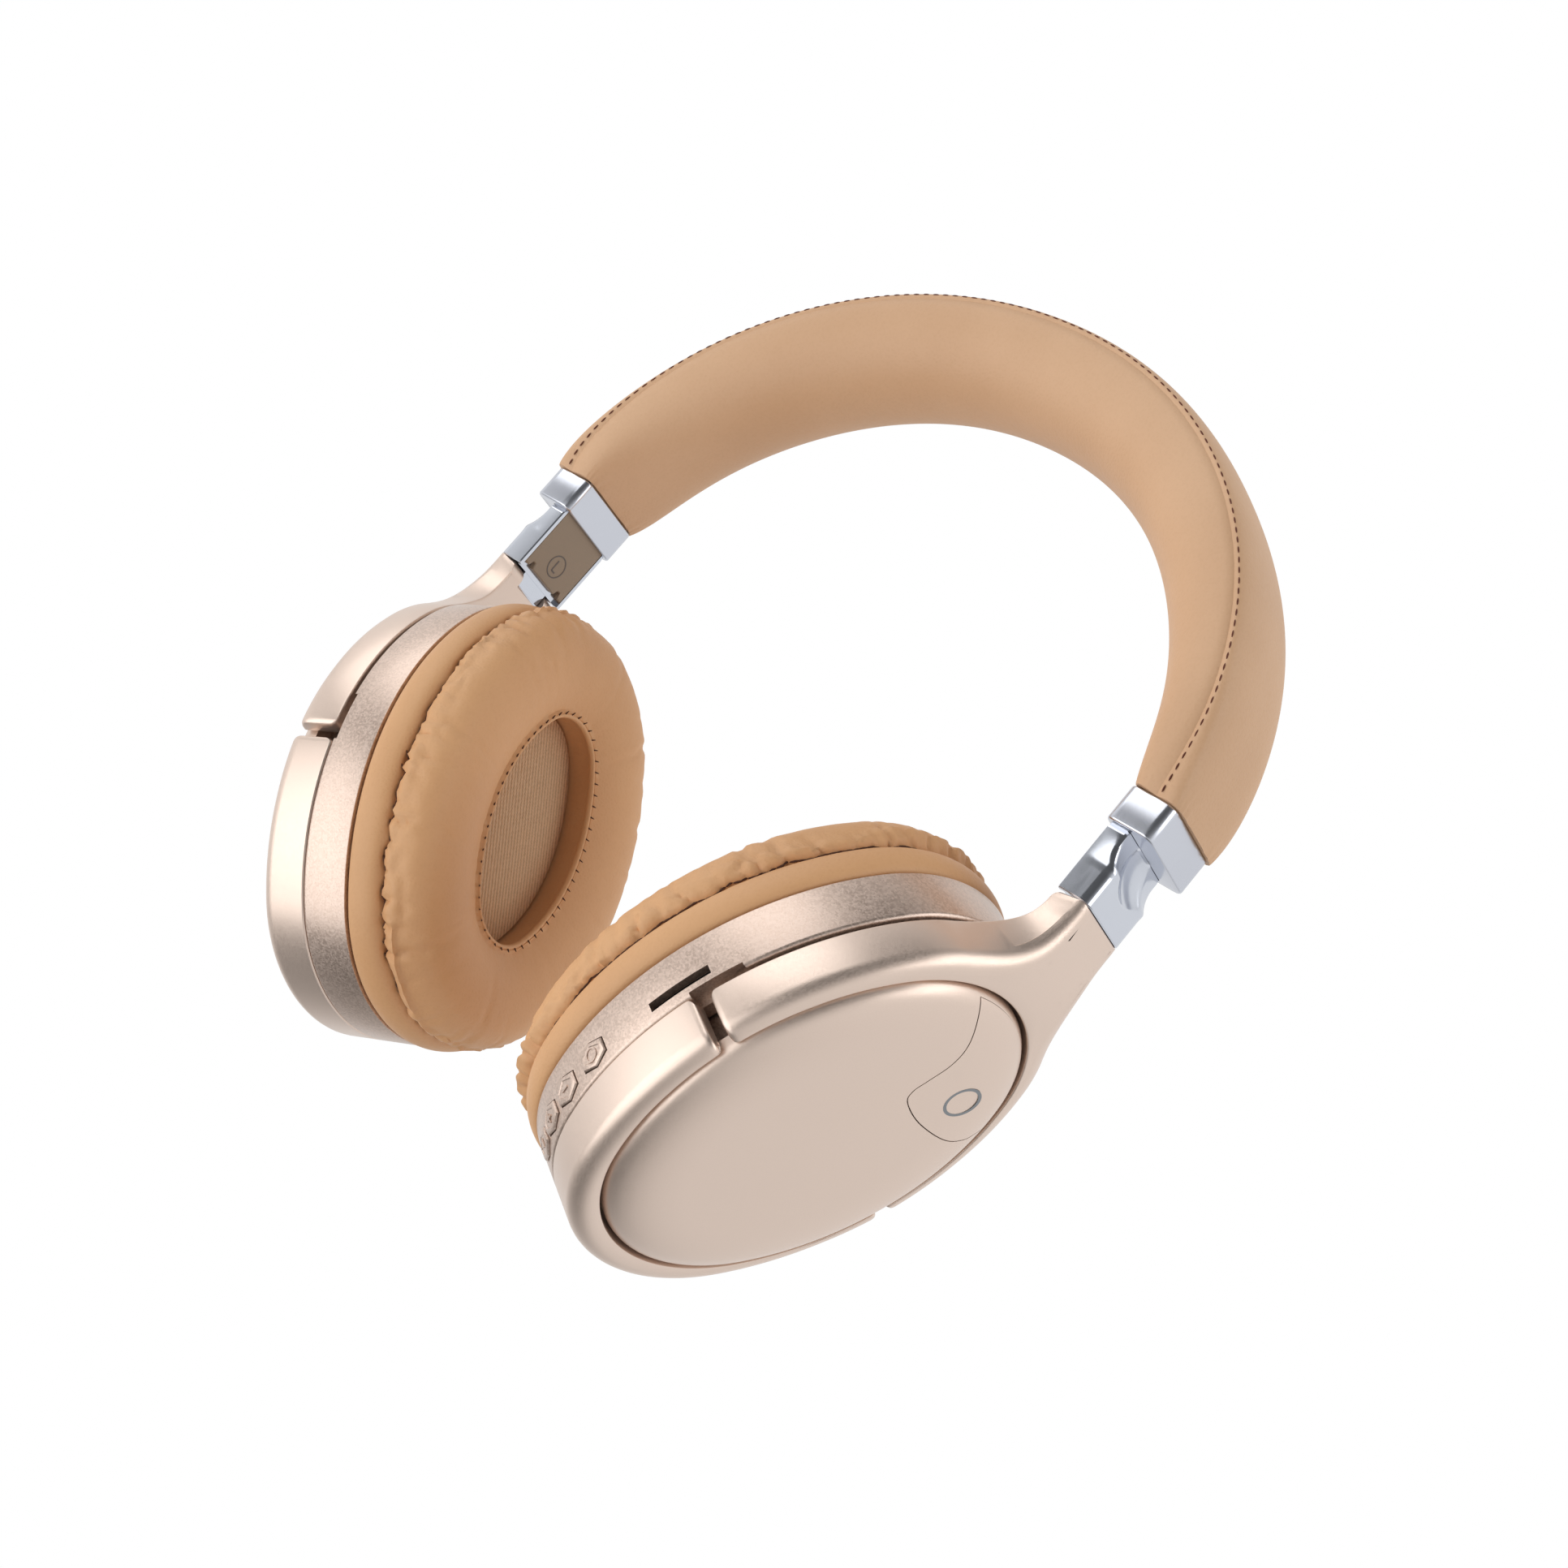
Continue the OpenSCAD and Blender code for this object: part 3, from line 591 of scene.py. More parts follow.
def arc_points(cy, cz, r, a0, a1, count):
    """Points on an arc, from angle a0 to a1 in degrees."""
    return [(cy + r * math.cos(a), cz + r * math.sin(a)) for a in np.radians(np.linspace(a0, a1, count))]


def across(outline, half_y):
    """Two loops of an (x, z) outline, one each side of the middle."""
    return [[(x, y, z) for x, z in outline] for y in (-half_y, half_y)]


bright_chrome = metal("bright_chrome", srgb(216, 220, 229), 0.1, direction=(20, 20, 3))
slider_levels = [parting_z, parting_z + 0.1, parting_z + 0.25, *np.arange(parting_z + 0.6, ramp_z + 1.6, 0.3),
                 tongue_top - 0.3, tongue_top]
neck_x, neck_z = hinge_x - 1.5, parting_z + 0.3
knuckle = [(neck_x, neck_z), (neck_x, hinge_z), *arc_points(hinge_x, hinge_z, hinge_r, 180, 360, 25)[1:],
           (hinge_x + hinge_r, neck_z)]
for side_name, side in sides:
    tongue = loft([slider_loop(z) for z in slider_levels])
    verts, faces = joined([tongue, loft(across(knuckle, knuckle_w / 2))])
    casting = add("slider_casting_" + side_name, mirrored(verts, side), faces, bright_chrome)
    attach(casting, "slider_" + side_name)
    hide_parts("slider_shell_" + side_name)


# ---------- slider covers and their side marks ----------
# A taupe moulded plate snapped into the slider's inner face over the steel strip, with two
# notches at its lower end and a printed ring that holds a plain L or R.

def plastic(name, colour, roughness):
    """Moulded plastic with a fine spark-eroded grain."""
    moulding = Finish(name, colour, roughness)
    grit = moulding.noise(2500.0, 2.0)
    tone = moulding.noise(40.0, 2.0)
    shade = moulding.mix(colour, darker(colour, 0.82), tone * 0.6)
    return moulding.feed(base_color=shade, roughness=roughness - 0.06 + 0.14 * grit,
                         normal=moulding.bump(grit, 0.00002, 0.7))


taupe_plastic = plastic("taupe_plastic", srgb(158, 139, 118), 0.42)
mark_ink = plastic("mark_ink", srgb(112, 104, 98), 0.6)
mark_z = collar_z - collar_h - 9.6


def stroke(p, q, width):
    """The four corners of a straight stroke from p to q."""
    p, q = np.array(p, float), np.array(q, float)
    n = np.array([-(q - p)[1], (q - p)[0]]) * width / 2 / np.linalg.norm(q - p)
    return [p + n, q + n, q - n, p - n]


def printed(path, width):
    """Ink along a path of (y, z) on the plate's face."""
    return [loft([[(slider_x - lift, y, z) for y, z in stroke(p, q, width)] for lift in (0, 0.06)])
            for p, q in zip(path, path[1:])]


plate_low, plate_half, plate_edge = parting_z + 1.25, 8.0, 0.18
notch = [(4.7, 0), (5.2, 1.3), (6.1, 1.3), (6.6, 0)]
foot = [(-y, z) for y, z in notch[::-1]] + notch
plate_outline = [(-plate_half, plate_low), *((y, plate_low + z) for y, z in foot), (plate_half, plate_low),
                 (plate_half, tongue_top), (-plate_half, tongue_top)]
plate_middle = np.array([0, (plate_low + tongue_top) / 2])
plate_share = (1 - plate_edge / plate_half, 1 - plate_edge / 16)
plate_face = [plate_middle + (np.array(p) - plate_middle) * plate_share for p in plate_outline]
plate_loops = [[(x, y, z) for y, z in outline]
               for x, outline in ((slider_x + 1.2, plate_outline), (slider_x + plate_edge, plate_outline),
                                  (slider_x, plate_face))]
for side_name, side in sides:
    plate = shell("slider_plate_" + side_name, plate_loops, side, taupe_plastic, 25)
    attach(plate, "slider_" + side_name)
    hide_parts("slider_cover_" + side_name)
    # the marks read upright from inside, so the letter's own X runs along -Y on the right and +Y on the left
    flip = -side
    if side < 0:
        letter = [([(-0.55, 1.3), (-0.55, -1.3), (0.75, -1.3)], 0.36)]
    else:
        letter = [([(-0.7, -1.35), (-0.7, 1.35)], 0.36),
                  ([(-0.7, -0.08), *arc_points(0.05, 0.62, 0.7, -90, 90, 10), (-0.7, 1.32)], 0.34),
                  ([(0.1, -0.08), (0.75, -1.35)], 0.36)]
    inks = printed(arc_points(0, mark_z, 2.5, 0, 360, 41), 0.28)
    for path, width in letter:
        inks += printed([(flip * y, mark_z + z) for y, z in path], width)
    verts, faces = joined(inks)
    mark = add("side_mark_" + side_name, mirrored(verts, side), faces, mark_ink)
    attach(mark, "slider_" + side_name)


# ---------- yokes ----------
# Painted castings: a stem under the slider flares into two rounded arms that run down both
# sides of the cup. The knuckle of the slider sits in a fork in the top of the stem.

cup_w, cup_h = 75.6, 94.6
disc_w, disc_h = 67.4, 81.6
lean = math.radians(24.2)
cup_centre = np.array([47.0, 0, collar_z - 73.2])
cup_out = np.array([math.cos(lean), 0, -math.sin(lean)])
cup_up = np.array([math.sin(lean), 0, math.cos(lean)])
ring_top, seat, ring_gap, ring_round = 21.5, 11.3, 0.7, 3.4


def in_cup(flat, depth):
    """World points from (forward, up) over the cup's rim plane and the depth out of it."""
    flat = np.asarray(flat, float)
    depth = np.broadcast_to(np.asarray(depth, float), flat.shape[:-1])
    return cup_centre + depth[..., None] * cup_out + flat[..., :1] * (0, 1, 0) + flat[..., 1:] * cup_up


def oval(w, h, angle, grow=0.0):
    """Points where the oval w by h faces this angle, moved out by grow: ends and sides are arcs."""
    angle = np.asarray(angle, float)
    c, s = np.cos(angle), np.sin(angle)
    end_off = 0.75 * (h - w)
    on_end = np.abs(c) < 0.8
    r = np.where(on_end, h / 2 - end_off, w / 2 + (h - w)) + grow
    x = np.where(on_end, 0, -(h - w) * np.sign(c)) + r * c
    y = np.where(on_end, end_off * np.sign(s), 0) + r * s
    return np.stack([x, y], axis=-1)


def paint(name, colour, dark, flake, sparkle):
    """Champagne metallic lacquer: aluminium flake in the base coat under a satin clear coat."""
    roughness = 0.36
    lacquer = Finish(name, colour, roughness, metallic=0.9, coat_weight=0.25, coat_roughness=0.18)
    flakes = lacquer.node("ShaderNodeSeparateColor", {}, lacquer.cells(flake, out="Color"))
    cloud = lacquer.noise(30.0, 2.0)
    shade = lacquer.mix(dark, colour, flakes * sparkle + cloud * 0.15 + (0.92 - sparkle))
    return lacquer.feed(base_color=shade, roughness=roughness + 0.12 * flakes - 0.03,
                        normal=lacquer.bump(flakes, 0.00002 * sparkle, 0.5))


champagne = paint("champagne_paint", srgb(233, 213, 199), srgb(222, 200, 184), 5200.0, 0.3)


def stem_half(v):
    """Half the stem's width at this height over the cup's middle: it flares into the arms."""
    return 9.1 + 10.4 * np.maximum(0, (stem_v - v) / 20) ** 2.6


flare_v, shoulder_v, stem_v = 41.0, 60.2, 61.0       # where the flare starts, and the stem's top
flare_angle = math.asin((flare_v - 0.75 * (cup_h - cup_w)) / (cup_h / 2 - 0.75 * (cup_h - cup_w)))


def yoke_depth(v, wall, flat, fillet):
    """Depth of a face that lies flat on the ring and bends up into the upright plane at X = wall."""
    upright = (wall - cup_centre[0] - v * math.sin(lean)) / math.cos(lean)
    return soft_min(flat + 0 * v, upright, fillet)


def stem_slant(v):
    return (stem_half(v + 0.05) - stem_half(v - 0.05)) / 0.1


def half_outline():
    """Stations from the arm's end up to the middle of the stem's top: outer (f, v), the way
    outwards there, the inner edge's angle and the rounding of the outer edge."""
    rows = []
    start = math.asin(1.0 / (cup_w / 2 + cup_h - cup_w))
    for a in np.linspace(start, flare_angle, 44):
        rows.append((oval(cup_w, cup_h, a), (math.cos(a), math.sin(a)), a, ring_round))
    for k, v in zip(np.linspace(0, 1, 24)[1:], np.linspace(flare_v, shoulder_v, 24)[1:]):
        slant = stem_slant(v)
        away = np.array([1, -slant]) / math.hypot(1, slant)
        a = flare_angle + (math.radians(82) - flare_angle) * k ** 0.8
        rows.append((np.array([stem_half(v), v]), away, a, ring_round - 0.9 * k))
    corner = stem_v - shoulder_v
    straight = stem_half(stem_v) - corner
    for k in (0.25, 0.5, 0.75, 1.0):
        away = np.array([math.cos(math.radians(90 * k)), math.sin(math.radians(90 * k))])
        here = np.array([straight, shoulder_v]) + corner * away
        rows.append((here, away, math.radians(82 + k), 2.5 - 2.1 * k))
    for x in np.linspace(straight, 0, 8)[1:]:
        rows.append((np.array([x, stem_v]), (0, 1), math.radians(83 + 7 * (1 - x / straight)), 0.4))
    return rows


def edge_drop(f, v):
    """How far the stem's face is rounded down beside its edge."""
    if v < flare_v:
        return 0.0
    r = ring_round - 0.9 * min(1, (v - flare_v) / (shoulder_v - flare_v))
    near = max(0.0, min(r, r - (stem_half(min(v, stem_v)) - abs(f)) / math.hypot(1, stem_slant(v))))
    return r - math.sqrt(r * r - near * near)


def yoke_section(outer, away, inner_angle, rounding, mirror):
    """One closed loop of the yoke's section, from the inner wall over the face to the outer wall."""
    inner = oval(disc_w, disc_h, inner_angle, ring_gap)
    away = np.array(away)
    shear = min(1.0, max(0.0, (outer[1] - 45) / 16))
    rim = outer + (0, 0.79 * shear)
    foot = outer - (0, 2.2 * shear)
    flat, depth = [], []

    def face(point, drop=0.0):
        flat.append(point)
        depth.append(yoke_depth(point[1], slider_out, ring_top, 2.4) - drop)

    def back(point, lift=0.0):
        flat.append(point)
        depth.append(yoke_depth(point[1], slider_x, seat, 1.5) + lift)

    reach = np.linalg.norm(rim - inner)
    to_rim = (rim - inner) / reach
    back(inner)
    for a in np.radians((0, 30, 60, 90)):
        face(inner + to_rim * 0.35 * (1 - math.cos(a)), 0.35 * (1 - math.sin(a)))
    in_stem = outer[1] > flare_v
    shoulder = rim - away * min(rounding, reach - 0.4)
    for k in np.linspace(0, 1, 9)[1:-1]:
        point = inner + to_rim * 0.35 + (shoulder - inner - to_rim * 0.35) * k
        face(point, edge_drop(*point))
    span = np.linalg.norm(rim - shoulder)
    for a in np.radians(np.linspace(0, 90, 9)):
        point = shoulder + away * span * math.sin(a)
        own = rounding * (1 - math.cos(a))
        face(point, max(own, edge_drop(*point)) if in_stem else own)
    for a in np.radians((0, 45, 90)):
        back(foot - away * 0.5 * (1 - math.cos(a)), 0.5 * (1 - math.sin(a)))
    for k in np.linspace(0, 1, 7)[1:-1]:
        back(foot + (inner - foot) * k)
    flat = np.array(flat)
    flat[:, 0] *= mirror
    return in_cup(flat, np.array(depth))


def end_cap(section, neighbour, radius):
    """Sections that round off an end: each is shrunk towards the middle and moved out."""
    middle = section.mean(axis=0)
    reach = np.linalg.norm(section - middle, axis=1).mean()
    way = middle - neighbour.mean(axis=0)
    way /= np.linalg.norm(way)
    caps = []
    for a in np.radians(np.linspace(0, 90, 6)[1:]):
        shrink = 1 - radius * (1 - math.cos(a)) / reach
        caps.append(middle + (section - middle) * shrink + way * radius * math.sin(a))
    return caps


def capped(sections, radius):
    """The sections with both ends rounded off."""
    return (end_cap(sections[0], sections[1], radius)[::-1] + sections
            + end_cap(sections[-1], sections[-2], radius))


def carve(piece, cutters, material, smooth=35.0, operation="DIFFERENCE"):
    """Cuts solids out of a piece, or keeps what is inside them."""
    for cutter in cutters:
        cut = piece.modifiers.new("cut", "BOOLEAN")
        cut.operation = operation
        cut.object = cutter
        cut.solver = "EXACT"
        graph = bpy.context.evaluated_depsgraph_get()
        plain = bpy.data.meshes.new_from_object(piece.evaluated_get(graph))
        piece.modifiers.clear()
        piece.data = plain
        bpy.data.objects.remove(cutter)
    tidy(piece, material, smooth)


hole_r = hinge_r + 0.25  # the fork's pocket around the knuckle
pocket = [(slider_x - 5, hinge_z + 5), (slider_x - 5, hinge_z),
          *arc_points(hinge_x, hinge_z, hole_r, 180, 360, 21), (hinge_x + hole_r, hinge_z + 5)]
heel = [*arc_points(hinge_x, hinge_z, hinge_r, 180, 90, 13), (hinge_x, hinge_z + 5),
        (slider_x - 5, hinge_z + 5), (slider_x - 5, hinge_z)]
stations = half_outline()
for side_name, side in sides:
    arm = [yoke_section(*row, 1) for row in stations]
    other_arm = [yoke_section(*row, -1) for row in stations[-2::-1]]
    verts, faces = loft(capped(arm + other_arm, 1.3))
    verts[:, 0] = np.minimum(verts[:, 0], slider_out)
    fork = add("yoke_casting_" + side_name, mirrored(verts, side), faces, champagne)
    # the fork clears the knuckle, and its heel is rounded so that it clears the slider as it folds
    cutters = [shell("pocket", across(pocket, knuckle_w / 2 + 0.25), side, champagne),
               shell("heel", across(heel, 15), side, champagne)]
    carve(fork, cutters, champagne, 32)
    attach(fork, "yoke_" + side_name)
    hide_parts("yoke_" + side_name)


# ---------- cup barrels ----------
# Moulded housings sprayed with a coarser, sparkling champagne lacquer. The right one has
# openings for the buttons, the card, the audio jack and the charging port.

barrel_depth = 10.4
button_angles = (205.5, 214.6, 226.4, 239)
button_w, button_l, button_z = 5.2, 6.2, 6.1
slot_angle, slot_l, slot_z = 184.7, 12.5, 7.2
jack_angle, port_angle, port_z = 262, 284, 5.5
sparkle = paint("champagne_sparkle", srgb(226, 205, 191), srgb(176, 152, 136), 3000.0, 0.55)


def on_rim(angle, along, depth, out):
    """A point by the barrel's wall at this angle: along the rim, at this depth and this far out."""
    a = math.radians(angle)
    away, forward = np.array([math.cos(a), math.sin(a)]), np.array([-math.sin(a), math.cos(a)])
    return in_cup(oval(cup_w, cup_h, a) + away * out + forward * along, depth)


def rim_hole(angle, outline):
    """A cutter through the right barrel's wall at this angle. The outline is (along the rim, depth)."""
    loops = [[on_rim(angle, x, z, out) for x, z in outline] for out in (-3.0, 2.0)]
    return shell("hole", loops, 1, sparkle)


def hexagon(grow):
    """A button's outline: six sides, with points up and down the barrel's depth."""
    half_w, half_l = button_w / 2 + grow, button_l / 2 + grow
    shoulder = half_w - 1.2
    right = [(0, button_z - half_w), (half_l, button_z - shoulder), (half_l, button_z + shoulder)]
    return right + [(-x, 2 * button_z - z) for x, z in right]


def rectangle(half_x, half_z, z):
    """A slot's outline, with its middle at this depth."""
    return [(-half_x, z - half_z), (half_x, z - half_z), (half_x, z + half_z), (-half_x, z + half_z)]


around = np.linspace(0, 2 * math.pi, 241)[:-1]
plate_z, core_top = 8.8, 18.6                        # the barrel's closing plate, and its frame above it
top_edge = 0.8
barrel_profile = [(-2, 0), (-0.25, 0), (-0.07, 0.07), (0, 0.25),
                  *arc_points(-top_edge, barrel_depth - top_edge, top_edge, 0, 90, 8),
                  (-7.5, barrel_depth), (-7.5, plate_z), (-2, plate_z)]
core_profile = [(-5.6, plate_z), (-4, plate_z), (-4, core_top), (-5.6, core_top)]
for side_name, side in sides:
    loops = [in_cup(oval(cup_w, cup_h, around, d), z) for d, z in barrel_profile]
    barrel = shell("cup_barrel_" + side_name, loops, side, sparkle, ring=True)
    cuts = []
    for k in (-1, 1):
        # a recess under the gap between the yoke's arm and the lower arc
        corners = [(k * 33.4, -3.4), (k * 41.0, -3.4), (k * 41.0, 6.0), (k * 33.4, 8.5)]
        loops = [[in_cup(np.array(p), d) for p in corners] for d in (9.3, 11.6)]
        cuts.append(shell("recess", loops, side, sparkle))
    if side > 0:
        cuts += [rim_hole(a, hexagon(0.22)) for a in button_angles]
        cuts.append(rim_hole(slot_angle, rectangle(slot_l / 2, 0.95, slot_z)))
        cuts.append(rim_hole(jack_angle, arc_points(0, port_z, 3.0, 0, 360, 33)[:-1]))
        cuts.append(rim_hole(port_angle, rectangle(4.2, 1.7, port_z)))
    carve(barrel, cuts, sparkle)
    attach(barrel, "cup_" + side_name)

    # the frame that the outer cover clips onto
    loops = [in_cup(oval(disc_w, disc_h, around, d), z) for d, z in core_profile]
    core = shell("cup_frame_" + side_name, loops, side, sparkle, ring=True)
    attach(core, "cup_" + side_name)
    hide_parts("barrel_" + side_name)


# ---------- lower arcs ----------
# A painted rail snapped onto the bottom of each barrel. It carries on the line of the
# yoke's arms below the gap that lets the cup tilt.

def rail_section(a):
    """The rail's section where the cup's rim faces this angle, rounded over like the yoke's arms."""
    out = oval(cup_w, cup_h, a)
    inner = oval(disc_w, disc_h, a, ring_gap)
    width = np.linalg.norm(out - inner)
    toward = (out - inner) / width
    away = np.array([math.cos(a), math.sin(a)])
    points = [(inner, barrel_depth), (inner, ring_top - 0.35), (inner + toward * 0.1, ring_top - 0.1),
              (inner + toward * 0.35, ring_top)]
    r = min(ring_round, width - 0.4)
    for b in np.radians(np.linspace(0, 90, 9)):
        points.append((out - away * r * (1 - math.sin(b)), ring_top - ring_round * (1 - math.cos(b))))
    points += [(out, barrel_depth + 0.25), (out - away * 0.25, barrel_depth)]
    return np.array([in_cup(p, d) for p, d in points])


arc_end = -4.4           # height of the rail's ends, below the cup's middle
arc_reach = math.asin(-arc_end / (cup_w / 2 + cup_h - cup_w))
rail_loops = [rail_section(a) for a in np.linspace(math.pi + arc_reach, 2 * math.pi - arc_reach, 120)]
for side_name, side in sides:
    rail = shell("lower_rail_" + side_name, capped(rail_loops, 1.2), side, champagne)
    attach(rail, "cup_" + side_name)
    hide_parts("lower_arc_" + side_name)


# ---------- outer covers and inset panels ----------
# Each cup is closed by a pillow-shaped painted cover. A shaped panel is let into its upper
# edge, with a fine groove all round and a plain printed ring.

dome_top = 24.6
pillow = ((0.0, 6.2), (0.0, 4.6), (0.12, 3.9), (0.5, 3.1), (1.1, 2.4), (2.0, 1.75), (3.2, 1.2), (4.8, 0.72),
          (7.0, 0.34), (9.5, 0.12), (12.0, 0.02), (14.0, 0.0))


def smooth_profile(points, count):
    """A finer profile through the given points, by Catmull-Rom."""
    padded = np.array([points[0], *points, points[-1]], float)
    fine = []
    for before, here, there, after in zip(padded, padded[1:], padded[2:], padded[3:]):
        for s in np.linspace(0, 1, count, endpoint=False):
            bend = 2 * before - 5 * here + 4 * there - after
            twist = 3 * here - before - 3 * there + after
            fine.append(tuple(0.5 * (2 * here + (there - before) * s + bend * s ** 2 + twist * s ** 3)))
    return fine + [tuple(padded[-1])]


def pillow_solid(name, side):
    """The closed solid under the pillow surface."""
    loops = [in_cup(oval(disc_w, disc_h, around, 0), dome_top - pillow[0][1])]
    for inset, drop in smooth_profile(pillow, 3):
        loops.append(in_cup(oval(disc_w, disc_h, around, -inset), dome_top - drop))
    for k in (0.75, 0.5, 0.25):
        loops.append(in_cup(oval(disc_w, disc_h, around, -14) * k, dome_top))
    return shell(name, loops, side, champagne)


panel_edge = ((-15, 42), (-8.5, 36.4), (-3, 31.5), (-0.6, 27), (0, 22), (0.4, 18.6), (2.6, 16.6),
              (10, 15.8), (19, 17.2), (23.4, 20), (26.5, 24.5), (40, 30), (40, 50), (-15, 50))


def panel_prism(side, grow, low):
    """A cutter with the panel's outline, grown a little, from this depth up."""
    line = np.array(smooth_profile(panel_edge[:12], 6) + list(panel_edge[12:]))
    step = np.roll(line, -1, axis=0) - np.roll(line, 1, axis=0)
    away = np.column_stack([step[:, 1], -step[:, 0]]) / np.linalg.norm(step, axis=1)[:, None]
    line = line + away * grow
    return shell("panel_cutter", [in_cup(line, low), in_cup(line, 30.0)], side, champagne)


panel_floor, groove = 21.9, 0.22
badge_ink = plastic("badge_ink", srgb(140, 144, 148), 0.45)
for side_name, side in sides:
    cover = pillow_solid("outer_shell_" + side_name, side)
    carve(cover, [panel_prism(side, groove, panel_floor)], champagne, 24)
    panel = pillow_solid("inset_panel_" + side_name, side)
    carve(panel, [panel_prism(side, 0.0, panel_floor + 0.1)], champagne, 24, "INTERSECT")
    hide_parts("outer_cover_" + side_name)
    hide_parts("accent_panel_" + side_name)
    loops = []
    for r, lift in ((3.1, -0.03), (3.1, 0.02), (3.75, 0.02), (3.75, -0.03)):
        loops.append(in_cup(arc_points(11.5, 24.2, r, 0, 360, 49)[:-1], dome_top + lift))
    badge = shell("badge_ring_" + side_name, loops, side, badge_ink, ring=True)
    for piece in (cover, panel, badge):
        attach(piece, "cup_" + side_name)


# ---------- ear cushions ----------
# A sewn ring of synthetic leather over foam. Its smooth lip grips the barrel; behind the lip
# a gathered seam puckers the leather, and the hole's folded edge is stitched every 2.4 mm.

cushion_leather = leather("cushion_leather", srgb(224, 174, 126), srgb(211, 159, 112))
# profiles in (out from the cup's rim, depth)
lip_rows = ((-1.8, -0.45), (-0.9, -0.5), (-0.2, -0.8), (0.3, -1.7), (0.55, -3.0), (0.5, -4.4), (0.2, -5.7),
            (-0.4, -6.8), (-1.3, -7.5), (-2.5, -7.8))
puff_rows = ((-2.3, -8.1), (-1.5, -8.4), (-0.9, -9.1), (-0.4, -10.4), (-0.3, -12.2), (-0.9, -14.3),
             (-2.2, -16.3), (-4.5, -18.1), (-7.6, -19.1), (-11.0, -19.4), (-14.6, -19.0), (-17.6, -18.0),
             (-19.8, -16.9), (-21.2, -16.2))
wall_rows = ((-21.7, -15.7), (-21.5, -14.8), (-21.1, -13.2), (-20.9, -10.5), (-21.0, -7.5), (-21.3, -4.4),
             (-21.6, -3.9))
back_rows = ((-18.0, -3.0), (-10.0, -3.0), (-3.5, -2.2))


def run_along(points):
    """The length from the first point to each."""
    return np.concatenate([[0], np.cumsum(np.linalg.norm(np.diff(points, axis=0), axis=1))])


def even_rows(points, step):
    """The profile cut into steps of about this length."""
    points = np.array(points, float)
    run = run_along(points)
    at = np.linspace(0, run[-1], max(2, round(run[-1] / step) + 1))
    return np.column_stack([np.interp(at, run, points[:, 0]), np.interp(at, run, points[:, 1])])


turns = np.linspace(0, 2 * math.pi, 361)[:-1]
lip = even_rows(smooth_profile(lip_rows, 4), 0.55)
puff = even_rows(smooth_profile(puff_rows, 4), 0.85)
wall = even_rows(smooth_profile(wall_rows, 3), 0.9)
profile = np.vstack([lip, puff, wall, back_rows])
puff_from, puff_to = len(lip), len(lip) + len(puff)


def inflate(rows, pins):
    """The cushion's points after its leather is blown up by cloth simulation, ten times life size."""
    big = 10
    verts, faces = loft(rows, ring=True)
    mesh = bpy.data.meshes.new("blown")
    mesh.from_pydata((verts * MM * big).tolist(), [], faces)
    blown = bpy.data.objects.new("blown", mesh)
    scene.collection.objects.link(blown)
    group = blown.vertex_groups.new(name="sewn")
    for i, weight in enumerate(pins):
        if weight > 0:
            group.add([i], float(weight), "REPLACE")
    cloth = blown.modifiers.new("cloth", "CLOTH")
    rules = cloth.settings
    rules.quality = 5
    rules.mass = 0.15
    rules.tension_stiffness = rules.compression_stiffness = 18
    rules.shear_stiffness = 8
    rules.bending_stiffness = 0.4
    rules.use_pressure = True
    rules.uniform_pressure_force = 4
    rules.shrink_min = -0.035
    rules.vertex_group_mass = "sewn"
    rules.effector_weights.gravity = 0
    cloth.point_cache.frame_start, cloth.point_cache.frame_end = 1, 20
    for step in range(1, 21):
        scene.frame_set(step)
    graph = bpy.context.evaluated_depsgraph_get()
    soft = bpy.data.meshes.new_from_object(blown.evaluated_get(graph))
    moved = np.empty(len(soft.vertices) * 3)
    soft.vertices.foreach_get("co", moved)
    bpy.data.objects.remove(blown)
    scene.frame_set(1)
    return moved.reshape(rows.shape) / (MM * big)


body = np.array([level(oval(cup_w, cup_h, turns, d), z) for d, z in profile])
pin_rows = np.ones(len(profile))
soft_rows = np.arange(puff_from + 1, puff_to - 1)
pin_rows[soft_rows] = np.clip(1 - (soft_rows - puff_from) / 4, 0, 1)
most_shift = 0.8
shift = inflate(body, np.repeat(pin_rows, len(turns))) - body
length = np.linalg.norm(shift, axis=2, keepdims=True)
body = body + shift * np.minimum(1, most_shift / np.maximum(length, 1e-9))


